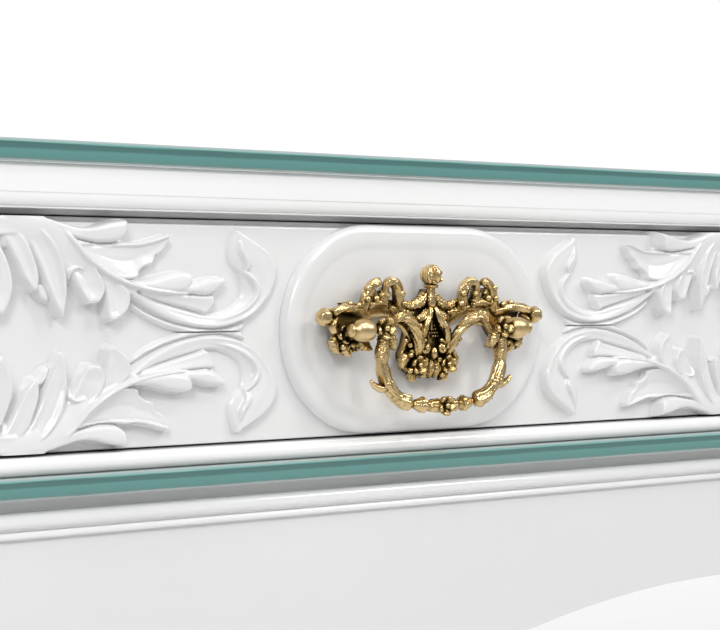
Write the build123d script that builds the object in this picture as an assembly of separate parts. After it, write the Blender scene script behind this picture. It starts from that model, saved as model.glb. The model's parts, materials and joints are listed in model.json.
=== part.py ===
"""A dressing table in white gloss lacquer on cabriole legs, with two glass plates and a tilting oval mirror.

A drawer case stands on a lower frame. An 8 mm glass plate lies on the case and another lies between the
case and the frame. The drawer's front carries an oval pad with a cast brass bail pull, and a pair of
acanthus half leaves on each side of it. The mirror is held on a post behind the case.

Frame: millimetres, +Z up, +X to the right, the front looks along -Y. The origin is on the floor below the
middle of the table.
"""

import os

from build123d import *

# ---------------------------------------------------------------- driving dimensions
GLASS_WIDTH = 766
GLASS_DEPTH = 480
GLASS_THICKNESS = 8
GLASS_CORNER = 6
GLASS_ARRIS = 1.2
TABLE_HEIGHT = 780

BOARD_SETBACK = 3  # from the edge of the glass to the edge of the boards
FACE_SETBACK = 11  # from the edge of the glass to the faces of the case, drawer and aprons
TOP_BOARD = 16
OPENING_HEIGHT = 87.4
BOTTOM_BOARD = 6.6
SUBTOP_BOARD = 12
NECK_HEIGHT = 5
MOULDING_HEIGHT = 10
MOULDING_DEPTH = 5
BOARD_CORNER = 5

PANEL = 18
THIN_PANEL = 8
STILE_WIDTH = 62
STILE_THICKNESS = 19
DRAWER_GAP = 2
GAP_ABOVE_DRAWER = 2.4
DUST_STRIP = 1.7
GAP_BELOW_DRAWER = 0.7

OVAL_LENGTH = 135
OVAL_HEIGHT = 83.4
OVAL_RISE = 5
LEAF_RISE = 9

SLIDE_HEIGHT = 45
SLIDE_WIDTH = 12.7
SLIDE_LENGTH = 400
SLIDE_STEEL = 1.2
DRAWER_TRAVEL = 340
BOX_HEIGHT = 68
BOX_WALL = 12
BOX_LENGTH = 400
BOX_BOTTOM = 4

POST_SPACING = 78  # between the two bolts of the pull
BALL_RADIUS = 4.6
PIVOT_OFFSET = 13.5  # from the oval pad's face to the axis of the bail
PLATE_THICKNESS = 5
PIN_RADIUS = 1.5
PIN_CLEARANCE = 0.08
BAIL_RADIUS = 2.7
BAIL_DROP = 31
BAIL_HALF_WIDTH = 28
ROSETTE_RADIUS = 4.4

LEG_POST = 58
APRON_HEIGHT = 70
APRON_THICKNESS = 16
GLIDE_HEIGHT = 6
GLIDE_RADIUS = 15

MIRROR_WIDTH = 430
MIRROR_HEIGHT = 570
MIRROR_CLEARANCE = 132  # from the glass top to the lowest point of the mirror's frame
FRAME_WIDTH = 42
FRAME_THICKNESS = 22
MIRROR_GLASS = 5
BACKBOARD = 6
COLUMN_WIDTH = 36
COLUMN_THICKNESS = 11
HINGE_GAP = 34  # from the mirror's backboard to the column's face
HINGE_PIN_RADIUS = 4
HINGE_PIN_HALF = 30
LUG_OUTSIDE = 22
KNOB_RADIUS = 11
KNOB_LENGTH = 12

# ---------------------------------------------------------------- levels and faces that follow
GLASS_X, GLASS_Y = GLASS_WIDTH / 2, GLASS_DEPTH / 2
BOARD_X, BOARD_Y = GLASS_X - BOARD_SETBACK, GLASS_Y - BOARD_SETBACK
FACE_X, FACE_Y = GLASS_X - FACE_SETBACK - 2, GLASS_Y - FACE_SETBACK

Z_GLASS = TABLE_HEIGHT - GLASS_THICKNESS
Z_TOP_BOARD = Z_GLASS - TOP_BOARD
Z_OPENING = Z_TOP_BOARD - OPENING_HEIGHT
Z_BOTTOM_BOARD = Z_OPENING - BOTTOM_BOARD
Z_LOWER_GLASS = Z_BOTTOM_BOARD - GLASS_THICKNESS
Z_SUBTOP = Z_LOWER_GLASS - SUBTOP_BOARD
Z_MOULDING = Z_LOWER_GLASS - NECK_HEIGHT - MOULDING_HEIGHT
Z_APRON = Z_SUBTOP - APRON_HEIGHT

FRONT_Y = -FACE_Y
STILE_X = FACE_X - STILE_WIDTH
FRONT_HALF = STILE_X - DRAWER_GAP
Z_FRONT_LOW = Z_OPENING + GAP_BELOW_DRAWER
Z_FRONT_HIGH = Z_TOP_BOARD - GAP_ABOVE_DRAWER
Z_MID = (Z_FRONT_LOW + Z_FRONT_HIGH) / 2

PARTITION_X = STILE_X - 12
BOX_X = PARTITION_X - SLIDE_WIDTH
BOX_BACK_Y = FRONT_Y + PANEL + BOX_LENGTH
Z_BOX = Z_OPENING + 6

PIVOT_Y = FRONT_Y - OVAL_RISE - PIVOT_OFFSET
PLATE_Y = FRONT_Y - OVAL_RISE

COLUMN_Y = GLASS_Y + 1
MIRROR_Z = TABLE_HEIGHT + MIRROR_CLEARANCE + MIRROR_HEIGHT / 2
BACKBOARD_Y = COLUMN_Y - HINGE_GAP
HINGE_Y = COLUMN_Y - HINGE_GAP / 2


def block(x0, x1, y0, y1, z0, z1):
    """A box between two corners."""
    return Pos((x0 + x1) / 2, (y0 + y1) / 2, (z0 + z1) / 2) * Box(abs(x1 - x0), abs(y1 - y0), abs(z1 - z0))


def plate(half_x, half_y, corner, z0, z1):
    """A rounded rectangle of the table's plan between two levels."""
    return extrude(Pos(0, 0, z0) * RectangleRounded(2 * half_x, 2 * half_y, corner), z1 - z0)


def bottom_edges(part):
    return part.edges().group_by(Axis.Z)[0]


def top_edges(part):
    return part.edges().group_by(Axis.Z)[-1]


def upright(sketch, y, depth):
    """A sketch drawn in X and Z, its face at y and its body reaching depth towards the back."""
    return extrude(Location((0, y, 0), (90, 0, 0)) * sketch, -depth)


def across(radius, length, x, y, z):
    """A round bar along X that starts at x."""
    return Pos(x + length / 2, y, z) * Rot(0, 90, 0) * Cylinder(radius, length)


def along(radius, length, x, y, z):
    """A round bar along Y that starts at y and runs to the back."""
    return Pos(x, y + length / 2, z) * Rot(90, 0, 0) * Cylinder(radius, length)


def mirrored(part):
    return mirror(part, Plane.YZ)


# ---------------------------------------------------------------- glass and boards
def glass_plate(z):
    body = plate(GLASS_X, GLASS_Y, GLASS_CORNER, z, z + GLASS_THICKNESS)
    return chamfer(bottom_edges(body) + top_edges(body), GLASS_ARRIS)


def top_board():
    """The board under the glass, with a strip below it that narrows the gap above the drawer front."""
    body = plate(BOARD_X, BOARD_Y, BOARD_CORNER + 2, Z_TOP_BOARD, Z_GLASS)
    body = fillet(bottom_edges(body), 5.5)
    body = fillet(top_edges(body), 0.6)
    strip_x = STILE_X - 1
    return body + block(-strip_x, strip_x, FRONT_Y + 1.6, FRONT_Y + 16, Z_TOP_BOARD - DUST_STRIP, Z_TOP_BOARD + 1)


def bottom_board():
    body = plate(BOARD_X, BOARD_Y, BOARD_CORNER, Z_BOTTOM_BOARD, Z_OPENING)
    body = fillet(top_edges(body), 3)
    return fillet(bottom_edges(body), 3)


def subtop_board():
    return plate(FACE_X, FACE_Y, 2, Z_SUBTOP, Z_LOWER_GLASS)


def apron_moulding():
    """A strip round the frame: a large roll over a small bead, mitred at the corners."""
    middle, high = Z_MOULDING + 4, Z_MOULDING + MOULDING_HEIGHT
    outer = plate(FACE_X + MOULDING_DEPTH, FACE_Y + MOULDING_DEPTH, 4, middle, high)
    outer = fillet(bottom_edges(outer) + top_edges(outer), 2.8)
    bead = plate(FACE_X + 2.2, FACE_Y + 2.2, 3, Z_MOULDING, middle)
    bead = fillet(bottom_edges(bead), 1.8)
    core = block(-FACE_X, FACE_X, -FACE_Y, FACE_Y, Z_MOULDING - 1, high + 1)
    return outer + bead - core


# ---------------------------------------------------------------- drawer case
def case_side():
    return block(FACE_X - PANEL, FACE_X, FRONT_Y + STILE_THICKNESS, FACE_Y, Z_OPENING, Z_TOP_BOARD)


def stile():
    return block(STILE_X, FACE_X, FRONT_Y, FRONT_Y + STILE_THICKNESS, Z_OPENING, Z_TOP_BOARD)


def stile_rosette():
    """A round patera on the stile: a dished disc with a button."""
    centre = (STILE_X + FACE_X) / 2
    disc = along(24, 4, centre, FRONT_Y - 4, Z_MID)
    dish = along(19, 2, centre, FRONT_Y - 4, Z_MID)
    button = Pos(centre, FRONT_Y - 2, Z_MID) * Sphere(6)
    button = button & block(centre - 9, centre + 9, FRONT_Y - 8, FRONT_Y - 2, Z_MID - 9, Z_MID + 9)
    return disc - dish + button


def partition():
    y0, y1 = FRONT_Y + STILE_THICKNESS, FACE_Y - THIN_PANEL
    return block(PARTITION_X, PARTITION_X + PANEL, y0, y1, Z_OPENING, Z_TOP_BOARD)


def case_back():
    inside = FACE_X - PANEL
    return block(-inside, inside, FACE_Y - THIN_PANEL, FACE_Y, Z_OPENING, Z_TOP_BOARD)


# ---------------------------------------------------------------- drawer slides, in three members
def channel(x_web, x_lip, half_height):
    """A C channel along Y: its web stands at x_web and its lips reach to x_lip."""
    y0 = FRONT_Y + STILE_THICKNESS + 4
    toward = 1 if x_lip > x_web else -1
    z = Z_BOX + 2 + SLIDE_HEIGHT / 2 + 8
    web = block(x_web, x_web + toward * SLIDE_STEEL, y0, y0 + SLIDE_LENGTH, z - half_height, z + half_height)
    low = block(x_web, x_lip, y0, y0 + SLIDE_LENGTH, z - half_height, z - half_height + SLIDE_STEEL)
    high = block(x_web, x_lip, y0, y0 + SLIDE_LENGTH, z + half_height - SLIDE_STEEL, z + half_height)
    return web + low + high


def slide_outer():
    return channel(PARTITION_X, PARTITION_X - 11, SLIDE_HEIGHT / 2)


def slide_middle():
    return channel(PARTITION_X - 2.6, PARTITION_X - 10.6, SLIDE_HEIGHT / 2 - 2.4)


def slide_inner():
    return channel(BOX_X, BOX_X + 6.8, SLIDE_HEIGHT / 2 - 5.2)


# ---------------------------------------------------------------- drawer
def drawer_front():
    """The panel with its raised oval pad. The pad's edge is a round step, then a gentle slope to the face."""
    panel = block(-FRONT_HALF, FRONT_HALF, FRONT_Y, FRONT_Y + PANEL, Z_FRONT_LOW, Z_FRONT_HIGH)
    oval = Location((0, FRONT_Y, Z_MID), (90, 0, 0)) * SlotOverall(OVAL_LENGTH, OVAL_HEIGHT)
    pad = extrude(oval, OVAL_RISE)
    pad = fillet(pad.edges().group_by(Axis.Y)[0], 4.2)
    part = panel + pad
    for x in (-POST_SPACING / 2, POST_SPACING / 2):
        part -= along(2.1, PANEL + OVAL_RISE + 2, x, FRONT_Y - OVAL_RISE - 1, Z_MID)
    return part


def leaf():
    """One acanthus half leaf as a flat-topped relief, right of the oval and above the middle line."""
    outline = [
        (67, 22), (70, 9.5), (82, 2.2), (104, 1.2), (122, 5), (136, 7.5), (150, 5), (163, 4.5), (176, 9),
        (190, 6), (214, 8), (240, 7), (266, 4), (294, 1.6), (296, 10), (262, 24), (226, 36), (190, 40.2),
        (150, 40.2), (132, 40.2), (118, 37), (112, 24), (94, 20), (86, 28), (84, 39.5), (72, 33),
    ]
    points = [(u, Z_MID + v) for u, v in outline]
    return upright(make_face(Polyline(*points, close=True)), FRONT_Y - LEAF_RISE, LEAF_RISE)


def drawer_side():
    body = block(BOX_X - BOX_WALL, BOX_X, FRONT_Y + PANEL, BOX_BACK_Y, Z_BOX, Z_BOX + BOX_HEIGHT)
    return body - drawer_bottom()


def drawer_bottom():
    """The bottom, held in grooves in the sides and the back."""
    groove = BOX_WALL - 5
    half = BOX_X - groove
    return block(-half, half, FRONT_Y + PANEL, BOX_BACK_Y - groove, Z_BOX + 6, Z_BOX + 6 + BOX_BOTTOM)


def drawer_back():
    inside = BOX_X - BOX_WALL
    body = block(-inside, inside, BOX_BACK_Y - BOX_WALL, BOX_BACK_Y, Z_BOX, Z_BOX + BOX_HEIGHT)
    return body - drawer_bottom()


# ---------------------------------------------------------------- brass pull
def pull_backplate():
    """The cast plate: a crest with a bud, a flower cluster at the foot and a leafy arm each side."""
    half = [
        (0, 25), (4.6, 24), (5.6, 20), (3.2, 15.5), (7, 10.5), (13, 8), (15.5, 10.5), (17, 18.5), (24, 20),
        (31.5, 18), (34.5, 9), (42, 7.5), (50, 6.5), (57, 8), (58.5, 4), (52, -1), (46, -9), (38, -10.5),
        (33, -4.5), (24, -1), (15, -3), (11, -9), (12, -16), (8, -20.5), (0, -21.5),
    ]
    points = [(x, Z_MID + z) for x, z in half] + [(-x, Z_MID + z) for x, z in reversed(half[1:-1])]
    body = upright(make_face(Polyline(*points, close=True)), PLATE_Y - PLATE_THICKNESS, PLATE_THICKNESS)
    for x in (-POST_SPACING / 2, POST_SPACING / 2):
        body -= along(2.1, PLATE_THICKNESS + 2, x, PLATE_Y - PLATE_THICKNESS - 1, Z_MID)
    return body


def pull_post():
    """The right post: a collar, a ball head with the bail's socket in it, and a bolt through the front."""
    x = POST_SPACING / 2
    collar_y = PLATE_Y - PLATE_THICKNESS
    bolt_end = FRONT_Y + PANEL + 6
    collar = along(4.2, collar_y - PIVOT_Y, x, PIVOT_Y, Z_MID)
    head = Pos(x, PIVOT_Y, Z_MID) * Sphere(BALL_RADIUS)
    bolt = along(2, bolt_end - collar_y, x, collar_y, Z_MID)
    socket = across(PIN_RADIUS + PIN_CLEARANCE, BALL_RADIUS + 1, x - BALL_RADIUS - 1, PIVOT_Y, Z_MID)
    return collar + head + bolt - socket


def pull_nuts():
    """A washer and a hexagon nut on each bolt, inside the drawer."""
    parts = []
    for x in (-POST_SPACING / 2, POST_SPACING / 2):
        y = FRONT_Y + PANEL
        washer = along(5, 1, x, y, Z_MID) - along(2, 3, x, y - 1, Z_MID)
        nut = upright(Pos(x, Z_MID) * RegularPolygon(4, 6), y + 1, 3.2) - along(2, 6, x, y, Z_MID)
        parts += [washer, nut]
    return Compound(children=parts)


def bail():
    """The swinging ring: a bowed rod with a flower at each joint and its middle, and a pin at each end."""
    half, low = BAIL_HALF_WIDTH, Z_MID - BAIL_DROP
    top = Z_MID - 4
    path = Line((-half, top), (-half, low + 17))
    path += TangentArc((-half, low + 17), (-half + 15, low + 2), tangent=(0, -1))
    path += TangentArc((-half + 15, low + 2), (0, low), tangent=path.edges()[-1] % 1)
    path += mirror(path, Plane.YZ)
    flat = Wire(path.edges())
    route = Location((0, PIVOT_Y, 0), (90, 0, 0)) * flat
    start = route @ 0
    rod = sweep(Plane(origin=start, z_dir=route % 0) * Circle(BAIL_RADIUS), route)
    body = rod
    for side in (-1, 1):
        x = side * (half + 1.5)
        body += along(ROSETTE_RADIUS, 7.4, x, PIVOT_Y - 5, Z_MID)
        reach = POST_SPACING / 2 - 1.6 - half
        body += across(PIN_RADIUS, reach, half if side > 0 else -half - reach, PIVOT_Y, Z_MID)
    return body + along(5.2, 6.6, 0, PIVOT_Y - 3.6, low)


# ---------------------------------------------------------------- lower frame
def leg(right, front):
    """A cabriole leg: a square post, a knee that swells outwards, a slim ankle and a scrolled foot."""
    stations = [
        (Z_APRON + 6, 0, 29), (528, 6, 31), (450, 3, 26), (330, -6, 19.5), (200, -13, 15.5), (110, -12, 14.5),
        (62, -4, 17), (28, 4, 21), (GLIDE_HEIGHT, 6, 21),
    ]
    side_x, side_y = (1 if right else -1), (-1 if front else 1)
    centre_x, centre_y = FACE_X - LEG_POST / 2, FACE_Y - LEG_POST / 2
    sections = []
    for z, out, half in stations:
        square = RectangleRounded(2 * half, 2 * half, half * 0.62)
        sections.append(Pos(side_x * (centre_x + out), side_y * (centre_y + out), z) * square)
    shaft = loft(sections)
    x, y = side_x * centre_x, side_y * centre_y
    half = LEG_POST / 2
    return shaft + block(x - half, x + half, y - half, y + half, Z_APRON + 6, Z_SUBTOP)


def foot_glides():
    parts = []
    for side_x in (-1, 1):
        for side_y in (-1, 1):
            x, y = FACE_X - LEG_POST / 2 + 6, FACE_Y - LEG_POST / 2 + 6
            parts.append(Pos(side_x * x, side_y * y, GLIDE_HEIGHT / 2) * Cylinder(GLIDE_RADIUS, GLIDE_HEIGHT))
    return Compound(children=parts)


def shaped_apron(half_length, crown):
    """An apron seen from its face: a straight top, and a lower edge of two bows that meet in a drop."""
    top, low = Z_SUBTOP, Z_APRON
    rise = low + crown
    edge = [
        Line((-half_length, top), (half_length, top)),
        Line((half_length, top), (half_length, low + 8)),
        ThreePointArc((half_length, low + 8), (half_length * 0.55, rise), (half_length * 0.16, low + 6)),
        ThreePointArc((half_length * 0.16, low + 6), (0, low - 2), (-half_length * 0.16, low + 6)),
        ThreePointArc((-half_length * 0.16, low + 6), (-half_length * 0.55, rise), (-half_length, low + 8)),
        Line((-half_length, low + 8), (-half_length, top)),
    ]
    return make_face(Wire(edge))


def apron_front():
    return upright(shaped_apron(FACE_X - LEG_POST, 22), FRONT_Y, APRON_THICKNESS)


def apron_back():
    half = FACE_X - LEG_POST
    return block(-half, half, FACE_Y - APRON_THICKNESS, FACE_Y, Z_APRON + 8, Z_SUBTOP)


def apron_side():
    face = Rot(0, 0, 90) * upright(shaped_apron(FACE_Y - LEG_POST, 18), 0, APRON_THICKNESS)
    return Pos(FACE_X, 0, 0) * face


def corner_brackets():
    """A steel angle plate in each corner of the frame, from the front or back apron to the side apron."""
    parts = []
    inner_x, inner_y = FACE_X - APRON_THICKNESS, FACE_Y - APRON_THICKNESS
    reach = 94
    for side_x in (-1, 1):
        for side_y in (-1, 1):
            corners = [
                (side_x * inner_x, side_y * (inner_y - reach)),
                (side_x * (inner_x - reach), side_y * inner_y),
                (side_x * (inner_x - reach - 5), side_y * inner_y),
                (side_x * inner_x, side_y * (inner_y - reach - 5)),
            ]
            face = make_face(Polyline(*corners, close=True))
            parts.append(extrude(Pos(0, 0, Z_SUBTOP - 40) * face, 28))
    return Compound(children=parts)


def case_bolts():
    """Four bolts hold the case to the frame, through sleeved holes in the lower glass."""
    parts = []
    for x in (-230, 230):
        for y in (-150, 150):
            shank = Pos(x, y, (Z_SUBTOP + Z_OPENING - 1.5) / 2) * Cylinder(3, Z_OPENING - 1.5 - Z_SUBTOP)
            head = Pos(x, y, Z_SUBTOP - 2) * Cylinder(6, 4)
            parts.append(shank + head)
    return Compound(children=parts)


def bolt_holes():
    holes = [
        Pos(x, y, (Z_SUBTOP + Z_OPENING - 1.5) / 2) * Cylinder(3.05, Z_OPENING - 1.5 - Z_SUBTOP)
        for x in (-230, 230)
        for y in (-150, 150)
    ]
    return Compound(children=holes)


# ---------------------------------------------------------------- mirror
def oval(width, height, y, depth):
    return upright(Pos(0, MIRROR_Z) * Ellipse(width / 2, height / 2), y, depth)


def mirror_frame():
    y = BACKBOARD_Y - FRAME_THICKNESS
    body = oval(MIRROR_WIDTH, MIRROR_HEIGHT, y, FRAME_THICKNESS)
    body = fillet(body.edges().group_by(Axis.Y)[0], 9)
    body -= oval(MIRROR_WIDTH - 2 * FRAME_WIDTH, MIRROR_HEIGHT - 2 * FRAME_WIDTH, y - 1, FRAME_THICKNESS + 2)
    rebate = 8
    wide, high = MIRROR_WIDTH - 2 * FRAME_WIDTH + 2 * rebate, MIRROR_HEIGHT - 2 * FRAME_WIDTH + 2 * rebate
    return body - oval(wide, high, BACKBOARD_Y - MIRROR_GLASS - BACKBOARD, MIRROR_GLASS + BACKBOARD + 1)


def mirror_glass():
    wide, high = MIRROR_WIDTH - 2 * FRAME_WIDTH + 15, MIRROR_HEIGHT - 2 * FRAME_WIDTH + 15
    return oval(wide, high, BACKBOARD_Y - MIRROR_GLASS - BACKBOARD, MIRROR_GLASS)


def mirror_backboard():
    wide, high = MIRROR_WIDTH - 2 * FRAME_WIDTH + 15, MIRROR_HEIGHT - 2 * FRAME_WIDTH + 15
    return oval(wide, high, BACKBOARD_Y - BACKBOARD, BACKBOARD)


def mirror_crest():
    """A carved crest on the top of the frame: a palmette between two scrolls."""
    base = MIRROR_Z + MIRROR_HEIGHT / 2
    half = [
        (0, 62), (17, 56), (27, 38), (30, 24), (48, 30), (66, 22), (78, 2), (84, -22), (70, -22), (44, -12),
        (0, -5),
    ]
    points = [(x, base + z) for x, z in half] + [(-x, base + z) for x, z in reversed(half[1:-1])]
    body = upright(make_face(Polyline(*points, close=True)), BACKBOARD_Y - FRAME_THICKNESS - 4, 20)
    return body - oval(MIRROR_WIDTH, MIRROR_HEIGHT, BACKBOARD_Y - FRAME_THICKNESS - 5, FRAME_THICKNESS + 6)


def hinge_plate():
    """The moving leaf: a plate on the backboard with two lugs for the pin."""
    part = block(-26, 26, BACKBOARD_Y, BACKBOARD_Y + 3, MIRROR_Z - 30, MIRROR_Z + 30)
    for x in (-LUG_OUTSIDE, LUG_OUTSIDE - 5):
        part += block(x, x + 5, BACKBOARD_Y, HINGE_Y, MIRROR_Z - 9, MIRROR_Z + 9)
        part += across(9, 5, x, HINGE_Y, MIRROR_Z)
    return part - across(HINGE_PIN_RADIUS + PIN_CLEARANCE, 60, -30, HINGE_Y, MIRROR_Z)


def hinge_head():
    """The fixed leaf: a block on the column that fills the space between the lugs."""
    body = block(-15, 15, HINGE_Y, COLUMN_Y, MIRROR_Z - 9, MIRROR_Z + 9)
    body += across(9, 30, -15, HINGE_Y, MIRROR_Z)
    half = COLUMN_WIDTH / 2
    body += block(-half, half, COLUMN_Y - 3, COLUMN_Y, MIRROR_Z - 28, MIRROR_Z + 28)
    return body - across(HINGE_PIN_RADIUS, 60, -30, HINGE_Y, MIRROR_Z)


def hinge_pin():
    return across(HINGE_PIN_RADIUS, 2 * HINGE_PIN_HALF, -HINGE_PIN_HALF, HINGE_Y, MIRROR_Z)


def tilt_knob():
    """The right knob, which turns on the pin's end and clamps the lug: a disc with a domed face."""
    start = LUG_OUTSIDE + 0.4
    body = across(KNOB_RADIUS, KNOB_LENGTH, start, HINGE_Y, MIRROR_Z)
    body = fillet(body.edges().group_by(Axis.X)[-1], 4)
    bore = HINGE_PIN_HALF + 0.3 - start
    return body - across(HINGE_PIN_RADIUS + PIN_CLEARANCE, bore + 1, start - 1, HINGE_Y, MIRROR_Z)


def mirror_column():
    """The post behind the table, with a rounded top."""
    low, high = Z_APRON + 4, MIRROR_Z + 34
    sketch = Pos(0, (low + high) / 2) * RectangleRounded(COLUMN_WIDTH, high - low, 12)
    body = upright(sketch, COLUMN_Y, COLUMN_THICKNESS)
    return fillet(body.edges().group_by(Axis.Y)[-1], 3)


def column_spacers():
    """Two blocks that hold the post clear of the glass: one on the case's back, one on the back apron."""
    parts = [
        block(-COLUMN_WIDTH / 2, COLUMN_WIDTH / 2, FACE_Y, COLUMN_Y, z - 22, z + 22)
        for z in (Z_MID, Z_APRON + 32)
    ]
    return Compound(children=parts)


def column_screws():
    """Four countersunk screws through the post and its spacers. Their tips stop at the panels."""
    parts = []
    for centre in (Z_MID, Z_APRON + 32):
        for z in (centre - 12, centre + 12):
            parts.append(along(2, COLUMN_THICKNESS + COLUMN_Y - FACE_Y, 0, FACE_Y, z))
    return Compound(children=parts)


# ---------------------------------------------------------------- the assembly
def both_sides(name, part):
    return {f"{name}_right": part, f"{name}_left": mirrored(part)}


def assembly():
    holes = bolt_holes()
    screws = column_screws()
    nodes = {
        "glass_top": glass_plate(Z_GLASS),
        "top_board": top_board(),
        "bottom_board": bottom_board() - holes,
        "glass_lower": glass_plate(Z_LOWER_GLASS) - holes,
        "subtop_board": subtop_board() - holes,
        "apron_moulding": apron_moulding(),
        "case_back": case_back(),
        "drawer_front": drawer_front(),
        "drawer_back": drawer_back(),
        "drawer_bottom": drawer_bottom(),
        "pull_backplate": pull_backplate(),
        "pull_nuts": pull_nuts(),
        "bail": bail(),
        "apron_front": apron_front(),
        "apron_back": apron_back(),
        "foot_glides": foot_glides(),
        "corner_brackets": corner_brackets(),
        "case_bolts": case_bolts(),
        "mirror_frame": mirror_frame(),
        "mirror_glass": mirror_glass(),
        "mirror_backboard": mirror_backboard(),
        "mirror_crest": mirror_crest(),
        "hinge_plate": hinge_plate(),
        "hinge_head": hinge_head(),
        "hinge_pin": hinge_pin(),
        "mirror_column": mirror_column() - screws,
        "column_spacers": column_spacers() - screws,
        "column_screws": screws,
    }
    nodes |= both_sides("case_side", case_side())
    nodes |= both_sides("stile", stile())
    nodes |= both_sides("stile_rosette", stile_rosette())
    nodes |= both_sides("partition", partition())
    nodes |= both_sides("slide_outer", slide_outer())
    nodes |= both_sides("slide_middle", slide_middle())
    nodes |= both_sides("slide_inner", slide_inner())
    nodes |= both_sides("drawer_side", drawer_side())
    nodes |= both_sides("pull_post", pull_post())
    nodes |= both_sides("apron_side", apron_side())
    nodes |= both_sides("tilt_knob", tilt_knob())
    upper = leaf()
    lower = mirror(upper, Plane(origin=(0, 0, Z_MID), z_dir=(0, 0, 1)))
    nodes |= both_sides("leaf_upper", upper)
    nodes |= both_sides("leaf_lower", lower)
    for right in (True, False):
        for front in (True, False):
            name = f"leg_{'front' if front else 'back'}_{'right' if right else 'left'}"
            nodes[name] = leg(right, front)
    return nodes


os.makedirs("parts", exist_ok=True)
for node, shape in assembly().items():
    export_step(shape, f"parts/{node}.step")
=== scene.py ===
"""The looks of a dressing table: white gloss lacquer, carved leaves, a cast gold pull and polished glass.

Lengths in the tables of shapes are millimetres. A carved or cast shape is given on the drawer's face: first
the distance from the middle of the front, then the height above the middle line, then the rise from the face.
"""

import json
from math import cos, log, pi, radians, sin

import bpy
import numpy as np
from bpy.props import FloatProperty, FloatVectorProperty, PointerProperty
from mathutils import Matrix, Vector


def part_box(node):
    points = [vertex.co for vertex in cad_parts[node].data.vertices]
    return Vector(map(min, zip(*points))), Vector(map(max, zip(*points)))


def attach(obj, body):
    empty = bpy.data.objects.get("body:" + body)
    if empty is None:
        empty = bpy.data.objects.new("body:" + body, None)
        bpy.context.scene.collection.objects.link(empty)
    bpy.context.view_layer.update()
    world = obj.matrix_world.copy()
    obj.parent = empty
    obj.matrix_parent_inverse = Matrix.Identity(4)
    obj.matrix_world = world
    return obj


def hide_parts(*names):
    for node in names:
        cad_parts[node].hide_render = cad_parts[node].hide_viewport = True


bl_info = {
    "name": "Dressing table looks",
    "version": (1, 0, 0),
    "blender": (4, 5, 0),
    "location": "3D View > Sidebar > Table",
    "description": "Dresses the frame of a dressing table with carving, casting, lacquer and glass",
    "category": "Add Mesh",
}

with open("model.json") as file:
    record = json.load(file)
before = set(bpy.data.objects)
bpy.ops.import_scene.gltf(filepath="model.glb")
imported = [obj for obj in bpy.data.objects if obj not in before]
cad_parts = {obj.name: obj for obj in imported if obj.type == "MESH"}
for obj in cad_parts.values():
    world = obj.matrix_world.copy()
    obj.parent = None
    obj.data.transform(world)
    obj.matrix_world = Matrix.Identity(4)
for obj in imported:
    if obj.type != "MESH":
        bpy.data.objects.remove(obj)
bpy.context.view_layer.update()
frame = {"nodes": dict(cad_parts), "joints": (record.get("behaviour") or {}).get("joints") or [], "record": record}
MM = 0.001


def limits(node):
    """The lowest and highest corner of a node in millimetres."""
    low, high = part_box(node)
    return np.array(low) / MM, np.array(high) / MM


GLASS_LOW, GLASS_HIGH = limits("glass_top")
LOWER_GLASS_LOW, LOWER_GLASS_HIGH = limits("glass_lower")
BOARD_HIGH = limits("top_board")[1]
LIP_LOW, LIP_HIGH = limits("bottom_board")
FRONT_LOW, FRONT_HIGH = limits("drawer_front")
STILE_LOW, STILE_HIGH = limits("stile_right")
APRON_LOW, APRON_HIGH = limits("apron_front")
MOULDING_LOW, MOULDING_HIGH = limits("apron_moulding")
MIRROR_LOW, MIRROR_HIGH = limits("mirror_frame")
FACE_Y = STILE_LOW[1]
PAD_Y = FRONT_LOW[1]
BOARD_Z = STILE_HIGH[2]
MID_Z = (FRONT_LOW[2] + FRONT_HIGH[2]) / 2
HALF_FRONT = (FRONT_HIGH[2] - FRONT_LOW[2]) / 2
PIVOT_Y = next(j for j in frame["joints"] if j["name"] == "bail_swing")["pos_m"][1] / MM
PIVOT_RISE = PAD_Y - PIVOT_Y


# ---------------------------------------------------------------- what a user would change
class TableSettings(bpy.types.PropertyGroup):
    """Sizes and colours of the table's finishes."""

    lacquer: FloatVectorProperty(
        name="Lacquer", description="Colour of the lacquer", subtype="COLOR", size=3,
        default=(0.82, 0.82, 0.817)
    )
    lacquer_roughness: FloatProperty(
        name="Lacquer roughness", description="Roughness below the clear coat", default=0.16, min=0.0, max=1.0
    )
    gold: FloatVectorProperty(
        name="Gold", description="Colour of the cast metal where it is rubbed bright", subtype="COLOR",
        size=3, default=(0.62, 0.43, 0.165)
    )
    # patina of the cast metal, also used as painted shade where ambient occlusion finds its recesses
    patina_and_shade: FloatVectorProperty(
        name="Patina", description="Colour of the cast metal in its hollows", subtype="COLOR", size=3,
        default=(0.045, 0.029, 0.008)
    )
    glass_edge: FloatVectorProperty(
        name="Glass edge", description="Colour seen in the edge of the glass", subtype="COLOR", size=3,
        default=(0.1, 0.262, 0.242)
    )
    relief: FloatProperty(
        name="Relief", description="Height of the carving as a share of its full height", default=1.0,
        min=0.3, max=1.1
    )
    camera_height: FloatProperty(
        name="Camera height", description="Height of the camera above the floor", default=0.7287,
        unit="LENGTH"
    )
    camera_turn: FloatProperty(
        name="Camera turn", description="Turn of the camera from straight ahead", default=radians(38.0),
        subtype="ANGLE"
    )


def settings():
    return bpy.context.scene.table_settings


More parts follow.
